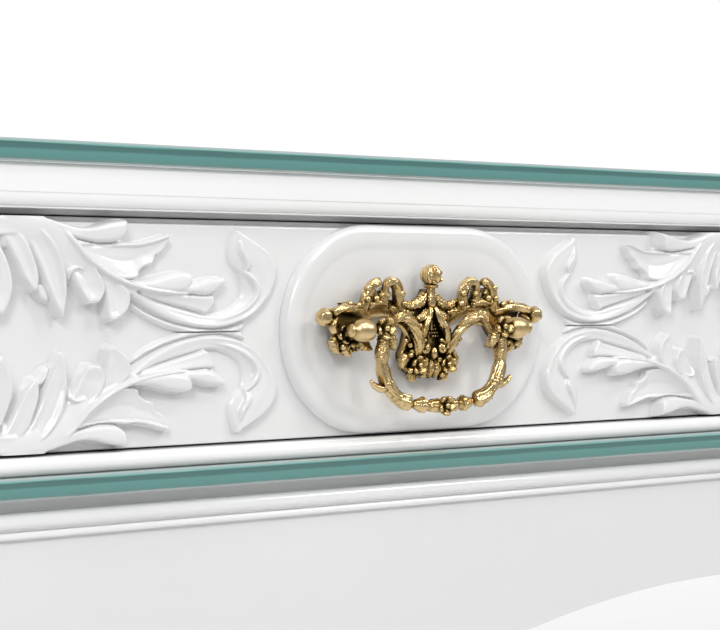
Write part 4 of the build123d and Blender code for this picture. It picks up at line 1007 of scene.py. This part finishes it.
def make_pull():
    """The plate with both its halves, which stand a little proud of the pad, and the two posts."""

    def lifted(skin):
        return placed(skin, lambda p: p + [0, 0, LIFT])

    half = [lifted(s) for s in pull_half()]
    right = [outward(s) for s in half]
    skins = right + [mirrored(s) for s in right] + [outward(lifted(s)) for s in pull_middle()]
    add_piece("cast_plate", skins, finish("antique_brass"), "drawer", ["pull_backplate"],
              crease=60)

    post_x = (limits("pull_post_right")[0][0] + limits("pull_post_right")[1][0]) / 2
    rise = PIVOT_RISE
    barrel_line = [(35.5, 1.6), (35.7, 2.6), (36.2, 3.5), (37.4, 4.1), (39.6, 4.45), (42, 4.3), (43.8, 3.7),
                   (44.8, 2.9), (45.3, 2.4), (46.2, 2.7), (46.9, 2.2), (47.4, 1.0)]
    line = spline([(x, 0, r) for x, r in barrel_line], 40)
    angle = np.linspace(0, 2 * pi, 40, endpoint=False)
    rings = np.stack([
        np.repeat(line[:, :1], 40, axis=1),
        line[:, 2:] * np.cos(angle),
        rise + line[:, 2:] * np.sin(angle)], axis=-1)
    barrel = shell(rings)
    stem_line = np.array([(2.4, 4.6), (3.4, 4.4), (4.6, 3.2), (7, 2.7), (9.4, 3.2), (rise - 1, 3.4)])
    stem = spline(np.column_stack([stem_line[:, 0], 0 * stem_line[:, 0], stem_line[:, 1]]), 24)
    rings = np.stack([
        post_x + stem[:, 2:] * np.cos(angle),
        stem[:, 2:] * np.sin(angle),
        np.repeat(stem[:, :1], 40, axis=1)], axis=-1)
    post = [outward(barrel), outward(shell(rings))]
    add_piece("post_right", post, finish("satin_brass"), "drawer", ["pull_post_right"])
    add_piece("post_left", [mirrored(s) for s in post], finish("satin_brass"), "drawer", ["pull_post_left"])


def make_bail():
    """The swinging ring: a fluted rod that swells and narrows, with flowers at its ends and its middle."""
    rise = PIVOT_RISE
    rod = scroll(
        [(29.4, 0.6, rise, 2.1), (30.2, -4, rise, 2.2), (31, -9, rise, 2.7), (31, -13, rise, 2.2),
         (30.4, -16.4, rise, 2.7), (28.4, -21.4, rise, 2.7), (24, -26, rise, 2.6), (19.6, -28.4, rise, 3.2),
         (17.4, -29.1, rise, 3.1), (16, -29.4, rise, 1.6)],
        flutes=6, depth=0.13, twist=1.6, samples=150, around=30)
    inner = scroll(
        [(16, -29.4, rise, 1.7), (13.4, -29.8, rise, 2.2), (11.2, -30, rise, 3.1), (9.8, -30.2, rise, 3.0),
         (9, -30.3, rise, 1.8), (7.6, -30.4, rise, 1.7), (6.6, -30.5, rise, 2.4), (4, -30.6, rise, 2.7),
         (0, -30.6, rise, 2.9)],
        flutes=7, depth=0.07, samples=90, around=28)
    skins = [rod, inner]
    skins.append(scroll([(27.6, -22.4, rise, 1.6), (31.4, -22.8, rise + 0.2, 1.6), (34.8, -21.6, rise, 1.2),
                         (37, -19.4, rise, 0.7)], flutes=4, depth=0.1))
    skins.append(frond([(27, -24, rise + 1.4), (23, -27.4, rise + 2.6), (17.6, -29.4, rise + 2.2)], 4.2, 1.0))
    skins.append(frond([(30.6, -17, rise + 1.6), (28.2, -21.6, rise + 2.8), (24, -25.4, rise + 2.4)],
                       4.2, 1.0))
    skins.append(frond([(30.6, -14, rise + 1.2), (31.2, -10, rise + 2.4), (30.2, -6, rise + 2)], 4.4, 1.0))
    skins += flower((31, 0.8, rise + 1.8), 4.6, 5)
    skins.append(frond([(29.4, -1, rise + 2), (27, -4, rise + 2.4), (25.4, -7.6, rise + 1.6)], 3.8, 1.0))
    skins.append(frond([(31.6, -2, rise + 2), (31, -5.6, rise + 2.6), (32.6, -9, rise + 1.8)], 3.6, 1.0))
    skins.append(scroll([(30, 0, rise, 1.45), (33, 0, rise, 1.45), (36.6, 0, rise, 1.45)], samples=16))
    right = [outward(s) for s in skins]
    middle = flower((0, -30.6, rise + 1.9), 4.2, 5, 0.31)
    add_piece("cast_bail", right + [mirrored(s) for s in right] + [outward(s) for s in middle],
              finish("antique_brass"), "bail", ["bail"], crease=60)


# ---------------------------------------------------------------- stiles, aprons and legs
def make_paterae():
    """A round patera on each stile: a raised rim, a ring of petals and a button, as one turned surface."""
    low, high = limits("stile_rosette_right")
    centre = (low[0] + high[0]) / 2
    radius = (high[0] - low[0]) / 2
    angle = np.linspace(0, 2 * pi, 144, endpoint=False)
    petals = np.abs(np.cos(6 * angle)) ** 0.7
    levels = [(1.0, -0.4, 0), (1.0, 1.6, 0), (0.985, 3.0, 0), (0.94, 3.9, 0), (0.88, 4.0, 0), (0.82, 3.2, 0),
              (0.79, 1.6, 0), (0.77, 1.2, 0.2), (0.70, 2.0, 1.2), (0.58, 2.8, 1.8), (0.44, 2.4, 1.6),
              (0.34, 1.6, 0.8), (0.29, 1.2, 0.1), (0.27, 2.6, 0), (0.23, 4.6, 0), (0.16, 6.2, 0),
              (0.08, 7.2, 0), (0.02, 7.5, 0)]
    rings = []
    for share, rise, leafy in levels:
        r = radius * share
        out = FACE_Y - (rise - leafy * (1 - petals))
        rings.append(np.stack([centre + r * np.cos(angle), out, MID_Z + r * np.sin(angle)], axis=1))
    skin = shell(np.array(rings))
    add_piece("patera_right", [skin], finish("white_lacquer"), "table", ["stile_rosette_right"])
    add_piece("patera_left", [mirrored(skin)], finish("white_lacquer"), "table", ["stile_rosette_left"])


KNEE_Z = 528
HALF_POST = 29


def leg_skin(side_x, side_y, node):
    """A cabriole leg: each height has a rounded square, moved out and sized by a smooth run of stations.

    The section is a superellipse, |x|^p + |y|^p = 1, square at the post and rounder below, with a raised edge
    that runs down its outer corner.
    """
    low, high = limits(node)
    top = APRON_HIGH[2]
    block_x, block_y = abs(STILE_HIGH[0]), abs(FACE_Y)
    half = (block_x - abs(APRON_LOW[0])) / 2
    table = np.array([
        (low[2], 6, 20.4, 2.6), (low[2] + 3, 6, 21, 2.6), (30, 4, 20.6, 2.6), (62, -4, 16.6, 2.4),
        (110, -12, 14.2, 2.3), (200, -13, 15.2, 2.4), (330, -6, 19.2, 2.7), (450, 3, 25.6, 3.2),
        (KNEE_Z, 5.6, 30.4, 4.2), (562, 3, 30, 7), (578, 0.4, 29, 14), (590, 0, half, 30),
        (top, 0, half, 30)])
    z = np.concatenate([np.linspace(low[2], 590, 90), [top]])
    curve = spline(np.column_stack([table[:, 1:3], table[:, 0], table[:, 3]]), 400)
    out, size, power = (np.interp(z, curve[:, 2], curve[:, k]) for k in (0, 1, 3))
    around = 64
    angle = np.linspace(0, 2 * pi, around, endpoint=False)[None, :]
    c, s = np.cos(angle), np.sin(angle)
    power = power[:, None]
    reach = size[:, None] / (np.abs(c) ** power + np.abs(s) ** power) ** (1 / power)
    edge = 1 + 0.03 * np.exp(-(((angle - pi / 4) / 0.16) ** 2)) * np.clip((540 - z[:, None]) / 60, 0, 1)
    x = (block_x - half + out[:, None]) + reach * edge * c
    y = (block_y - half + out[:, None]) + reach * edge * s
    rings = np.stack([side_x * x, side_y * y, np.repeat(z[:, None], around, axis=1)], axis=-1)
    return shell(rings)


def knee_leaf(side_x, side_y):
    """A carved leaf that wraps the knee's outer corner: three lobes laid on the diagonal face."""
    lobes = [
        petal([(-9, 24, 2), (-12, 0, 4), (-8, -30, 4), (-1, -58, 1.5)],
              [(9, 24, 2), (12, 0, 4), (8, -30, 4), (1, -58, 1.5)],
              (2, 3.4, 3, 1), veins=((0.5, 0.9, 0.06), (0.3, 0.4, 0.05), (0.7, 0.4, 0.05)), lip=0.6, base=-6),
        petal([(-8, 26, 1), (-17, 12, 1), (-19, -6, 0), (-14, -22, -1)],
              [(-2, 20, 3), (-8, 4, 3), (-9, -8, 3), (-11, -20, 1)], (1.2, 2, 1), lip=0.5, base=-8),
    ]
    lobes.append(mirrored(lobes[1]))
    centre_x, centre_y = abs(STILE_HIGH[0]) - HALF_POST, abs(FACE_Y) - HALF_POST
    skins = []
    for points, quads, tris in lobes:
        across, up, rise = points.T
        drop = np.clip(-up / 60, 0, 1)
        swell = 3.2 * np.sin(pi * np.clip((up + 60) / 90, 0, 1))
        reach = 36.5 + rise - 7.5 * drop**1.4 - across**2 / 46 + swell
        x = centre_x + (reach - across) / 2**0.5
        y = centre_y + (reach + across) / 2**0.5
        skins.append((np.column_stack([side_x * x, side_y * y, KNEE_Z + up]), quads, tris))
    return [s if volume(s) > 0 else flipped(s) for s in skins]


def make_legs():
    """The four legs, with a carved leaf on the knee of each front one."""
    for side_x, x_name in ((1, "right"), (-1, "left")):
        for side_y, y_name in ((-1, "front"), (1, "back")):
            node = f"leg_{y_name}_{x_name}"
            skins = [leg_skin(side_x, side_y, node)]
            if y_name == "front":
                skins += knee_leaf(side_x, side_y)
            add_piece(f"cabriole_{node}", skins, finish("white_lacquer"), "table", [node])


# ---------------------------------------------------------------- mirror
def make_mirror_frame():
    """The frame's moulding carried round an ellipse, and a string of beads round its inner edge."""
    low, high = MIRROR_LOW, MIRROR_HIGH
    centre_z = (low[2] + high[2]) / 2
    a, b = (high[0] - low[0]) / 2, (high[2] - low[2]) / 2
    back = high[1]
    width = 42
    count = 288
    angle = np.linspace(0, 2 * pi, count, endpoint=False)
    profile = [(0, 0), (0, 8), (0.6, 11), (3, 13.5), (6.5, 14.5), (8.5, 14), (9.2, 12.6), (10.6, 12.6),
               (13, 15), (17, 19), (22, 21.5), (27, 21.4), (31, 18.6), (33, 15.6), (34, 14.6), (35.4, 14.6),
               (37, 15.8), (39, 15.8), (41, 14), (width, 12), (width, 0)]
    rings = []
    for inset, rise in profile:
        x = (a - inset) * np.cos(angle)
        z = centre_z + (b - inset) * np.sin(angle)
        rings.append(np.stack([x, np.full(count, back - rise), z], axis=1))
    skins = [shell(np.array(rings), closed=True)]
    beads, bead_inset, bead_rise = 96, 38, 15
    turn = np.linspace(0, 2 * pi, beads, endpoint=False)
    for x, z in zip((a - bead_inset) * np.cos(turn), centre_z + (b - bead_inset) * np.sin(turn)):
        points, quads, tris = bead((0, 0, 0), (3.1, 3.1, 2.4), around=12, along=9, axis="out")
        points = np.column_stack([points[:, 0] + x, back - bead_rise - points[:, 2], points[:, 1] + z])
        skins.append(flipped((points, quads, tris)))
    add_piece("oval_frame", skins, finish("white_lacquer"), "mirror", ["mirror_frame"])


def make_mirror_crest():
    """A palmette of five lobes between two pairs of scrolls."""
    base, face = MIRROR_HIGH[2], limits("mirror_crest")[1][1]
    lobes = []
    for tilt, length, width in ((0, 56, 13), (26, 48, 12), (-26, 48, 12), (52, 38, 11), (-52, 38, 11)):
        q = radians(tilt)
        tip = (length * sin(q), length * cos(q))
        side = (cos(q) * width / 2, -sin(q) * width / 2)
        root = (4 * sin(q), -6)
        mid = (tip[0] * 0.62, tip[1] * 0.62 - 2)
        places = ((root, 0.3, 12), (mid, 1, 16), (tip, 0.5, 14))
        upper, lower = ([(p[0] + hand * side[0] * share, p[1] + hand * side[1] * share, rise)
                         for p, share, rise in places] for hand in (-1, 1))
        lobes.append(petal(upper, lower, (1, -1.5, 1), nose=4, base=2, tuck=0.6, veins=((0.5, 1.0, 0.08),)))
    arm = scroll([(6, 2, 12, 5), (24, 8, 14, 6), (44, 6, 14, 5.4), (62, -8, 13, 4.4), (72, -20, 12, 3)],
                 flutes=6, depth=0.1, twist=3, samples=80, around=30)
    curl = scroll([(30, 12, 13, 3), (42, 20, 15, 4.4), (56, 20, 15, 4.6), (64, 10, 14.6, 4), (58, 3, 14, 3),
                   (50, 6, 14, 2)],
                  flutes=5, depth=0.1, twist=3, samples=80, around=26)
    heart = bead((0, 2, 15), (9, 8, 7), flutes=8, depth=0.06, axis="out")
    lobes += [arm, curl, mirrored(arm), mirrored(curl), heart]

    def on_frame(p):
        return np.column_stack([p[:, 0], face - p[:, 2], base + p[:, 1]])

    skins = [flipped(placed(lobe, on_frame)) for lobe in lobes]
    add_piece("carved_crest", skins, finish("white_lacquer"), "mirror", ["mirror_crest"],
              crease=50)


# ---------------------------------------------------------------- stage
FLOOR_HALF = 40.0
CAMERA_X = -0.515
CAMERA_DISTANCE = 0.613  # from the front edge of the top glass
CAMERA_TILT = 0.84
CAMERA_LENS = 99.2


def make_stage():
    """Floor, soft lights and the camera."""
    scene = bpy.context.scene
    corners = FLOOR_HALF * np.array([(-1, -1, 0), (1, -1, 0), (1, 1, 0), (-1, 1, 0)])
    mesh = bpy.data.meshes.new("floor")
    mesh.from_pydata(corners.tolist(), [], [(0, 1, 2, 3)])
    mesh.materials.append(plain_finish("pale_floor", (0.93, 0.93, 0.925), 0.0, 0.6, 3.0, depth=0.0001,
                                       spread=0.012))
    floor = bpy.data.objects.new("floor", mesh)
    scene.collection.objects.link(floor)

    world = bpy.data.worlds.new("studio")
    scene.world = world
    world.use_nodes = True
    tree = world.node_tree
    light = tree.nodes["Background"]
    light.inputs["Strength"].default_value = 0.49
    coords = tree.nodes.new("ShaderNodeTexCoord")
    split = tree.nodes.new("ShaderNodeSeparateXYZ")
    tree.links.new(coords.outputs["Object"], split.inputs[0])
    level = tree.nodes.new("ShaderNodeMath")
    level.operation = "MULTIPLY_ADD"
    level.inputs[1].default_value = 0.5
    level.inputs[2].default_value = 0.5
    tree.links.new(split.outputs["Z"], level.inputs[0])
    sky = [(0.0, (0.3, 0.3, 0.3)), (0.48, (0.38, 0.38, 0.38)), (0.58, (0.75, 0.75, 0.76)),
           (0.8, (1.0, 1.0, 1.0))]
    tree.links.new(ramp(tree, level.outputs[0], sky), light.inputs["Color"])
    seen = tree.nodes.new("ShaderNodeBackground")
    seen.inputs["Color"].default_value = (1, 1, 1, 1)
    seen.inputs["Strength"].default_value = 1.05
    path = tree.nodes.new("ShaderNodeLightPath")
    mix = tree.nodes.new("ShaderNodeMixShader")
    tree.links.new(path.outputs["Is Camera Ray"], mix.inputs[0])
    tree.links.new(light.outputs[0], mix.inputs[1])
    tree.links.new(seen.outputs[0], mix.inputs[2])
    tree.links.new(mix.outputs[0], tree.nodes["World Output"].inputs["Surface"])

    def area(name, place, aim, width, height, power):
        lamp = bpy.data.lights.new(name, "AREA")
        lamp.shape = "RECTANGLE"
        lamp.size, lamp.size_y, lamp.energy = width, height, power
        lamp_object = bpy.data.objects.new(name, lamp)
        lamp_object.location = place
        lamp_object.rotation_euler = (Vector(aim) - Vector(place)).to_track_quat("-Z", "Y").to_euler()
        scene.collection.objects.link(lamp_object)

    target = (0, -0.25, 0.7)
    area("overhead", (0.2, -1.1, 2.2), target, 1.6, 0.35, 7)
    area("right_strip", (1.5, -1.5, 1.95), target, 0.16, 1.1, 3)
    area("left_strip", (-1.6, -1.7, 1.5), target, 0.14, 1.2, 3.5)
    for side, name, power in ((-1, "left_key", 3.9), (1, "right_key", 2.1)):
        area(name, (side * 0.78, -1.0, 1.32), (side * 0.2, *target[1:]), 0.3, 0.3, power)
    area("middle_key", (0.14, -1.25, 1.45), target, 0.15, 0.15, 2.3)
    area("floor_wash", (3.2, 3.2, 3.0), (3.2, 3.2, 0), 4.0, 4.0, 85)

    choice = settings()
    camera = bpy.data.cameras.new("camera")
    camera.lens = CAMERA_LENS
    camera.sensor_width = 36.0
    camera.clip_start = 0.05
    view = bpy.data.objects.new("camera", camera)
    view.location = (CAMERA_X, GLASS_LOW[1] * MM - CAMERA_DISTANCE, choice.camera_height)
    view.rotation_euler = (pi / 2 - radians(CAMERA_TILT), 0, -choice.camera_turn)
    scene.collection.objects.link(view)
    scene.camera = view
    scene.view_settings.view_transform = "Standard"


def finish_fittings():
    """Every node that is still shown takes its slot's finish."""
    slots = {s["node"]: s["material_slot"] for s in frame["record"]["subparts"]}
    for node, piece in frame["nodes"].items():
        for place in piece.material_slots:
            place.material = finish(slots[node])


# ---------------------------------------------------------------- operators
class TableOperator:
    """What every operator of this table shares."""

    bl_options = {"REGISTER", "UNDO"}
    makers = ()

    def execute(self, context):
        for maker in self.makers:
            maker()
        return {"FINISHED"}


class TABLE_OT_fittings(TableOperator, bpy.types.Operator):
    """Give every plain fitting its finish"""

    bl_idname = "table.fittings"
    bl_label = "Finish the fittings"
    makers = (finish_fittings,)


class TABLE_OT_glass(TableOperator, bpy.types.Operator):
    """Make the two glass plates with their polished edges"""

    bl_idname = "table.glass"
    bl_label = "Make the glass plates"
    makers = (
        lambda: make_glass("upper_glass", GLASS_LOW, GLASS_HIGH, "glass_top"),
        lambda: make_glass("lower_glass", LOWER_GLASS_LOW, LOWER_GLASS_HIGH, "glass_lower"),
    )


class TABLE_OT_boards(TableOperator, bpy.types.Operator):
    """Make the boards and the moulding that run round the case"""

    bl_idname = "table.boards"
    bl_label = "Make the boards"
    makers = (make_boards, make_moulding)


class TABLE_OT_drawer_front(TableOperator, bpy.types.Operator):
    """Make the drawer front with its oval pad"""

    bl_idname = "table.drawer_front"
    bl_label = "Make the drawer front"
    makers = (make_drawer_front,)


class TABLE_OT_leaves(TableOperator, bpy.types.Operator):
    """Carve the four half leaves"""

    bl_idname = "table.leaves"
    bl_label = "Carve the leaves"
    makers = (make_leaves,)


class TABLE_OT_pull(TableOperator, bpy.types.Operator):
    """Cast the pull's plate, its posts and its bail"""

    bl_idname = "table.pull"
    bl_label = "Cast the pull"
    makers = (make_pull, make_bail)


class TABLE_OT_legs(TableOperator, bpy.types.Operator):
    """Shape the cabriole legs and turn the paterae"""

    bl_idname = "table.legs"
    bl_label = "Shape the legs"
    makers = (make_paterae, make_legs)


class TABLE_OT_mirror(TableOperator, bpy.types.Operator):
    """Make the mirror's frame and its crest"""

    bl_idname = "table.mirror"
    bl_label = "Make the mirror"
    makers = (make_mirror_frame, make_mirror_crest)


class TABLE_OT_stage(TableOperator, bpy.types.Operator):
    """Set the floor, the lights and the camera"""

    bl_idname = "table.stage"
    bl_label = "Set the stage"
    makers = (make_stage,)


OPERATORS = (
    TABLE_OT_stage, TABLE_OT_fittings, TABLE_OT_glass, TABLE_OT_boards, TABLE_OT_drawer_front,
    TABLE_OT_leaves, TABLE_OT_pull, TABLE_OT_legs, TABLE_OT_mirror,
)


class TABLE_PT_panel(bpy.types.Panel):
    """The table's settings and its operators"""

    bl_idname = "TABLE_PT_panel"
    bl_label = "Dressing table"
    bl_space_type = "VIEW_3D"
    bl_region_type = "UI"
    bl_category = "Table"

    def draw(self, context):
        for name in TableSettings.__annotations__:
            self.layout.prop(context.scene.table_settings, name)
        for operator in OPERATORS:
            self.layout.operator(operator.bl_idname)


def register():
    for cls in (TableSettings, *OPERATORS, TABLE_PT_panel):
        bpy.utils.register_class(cls)
    bpy.types.Scene.table_settings = PointerProperty(type=TableSettings)


def unregister():
    del bpy.types.Scene.table_settings
    for cls in reversed((TableSettings, *OPERATORS, TABLE_PT_panel)):
        bpy.utils.unregister_class(cls)


def main():
    register()
    for operator in OPERATORS:
        group, name = operator.bl_idname.split(".")
        getattr(getattr(bpy.ops, group), name)()


if __name__ == "__main__":
    main()
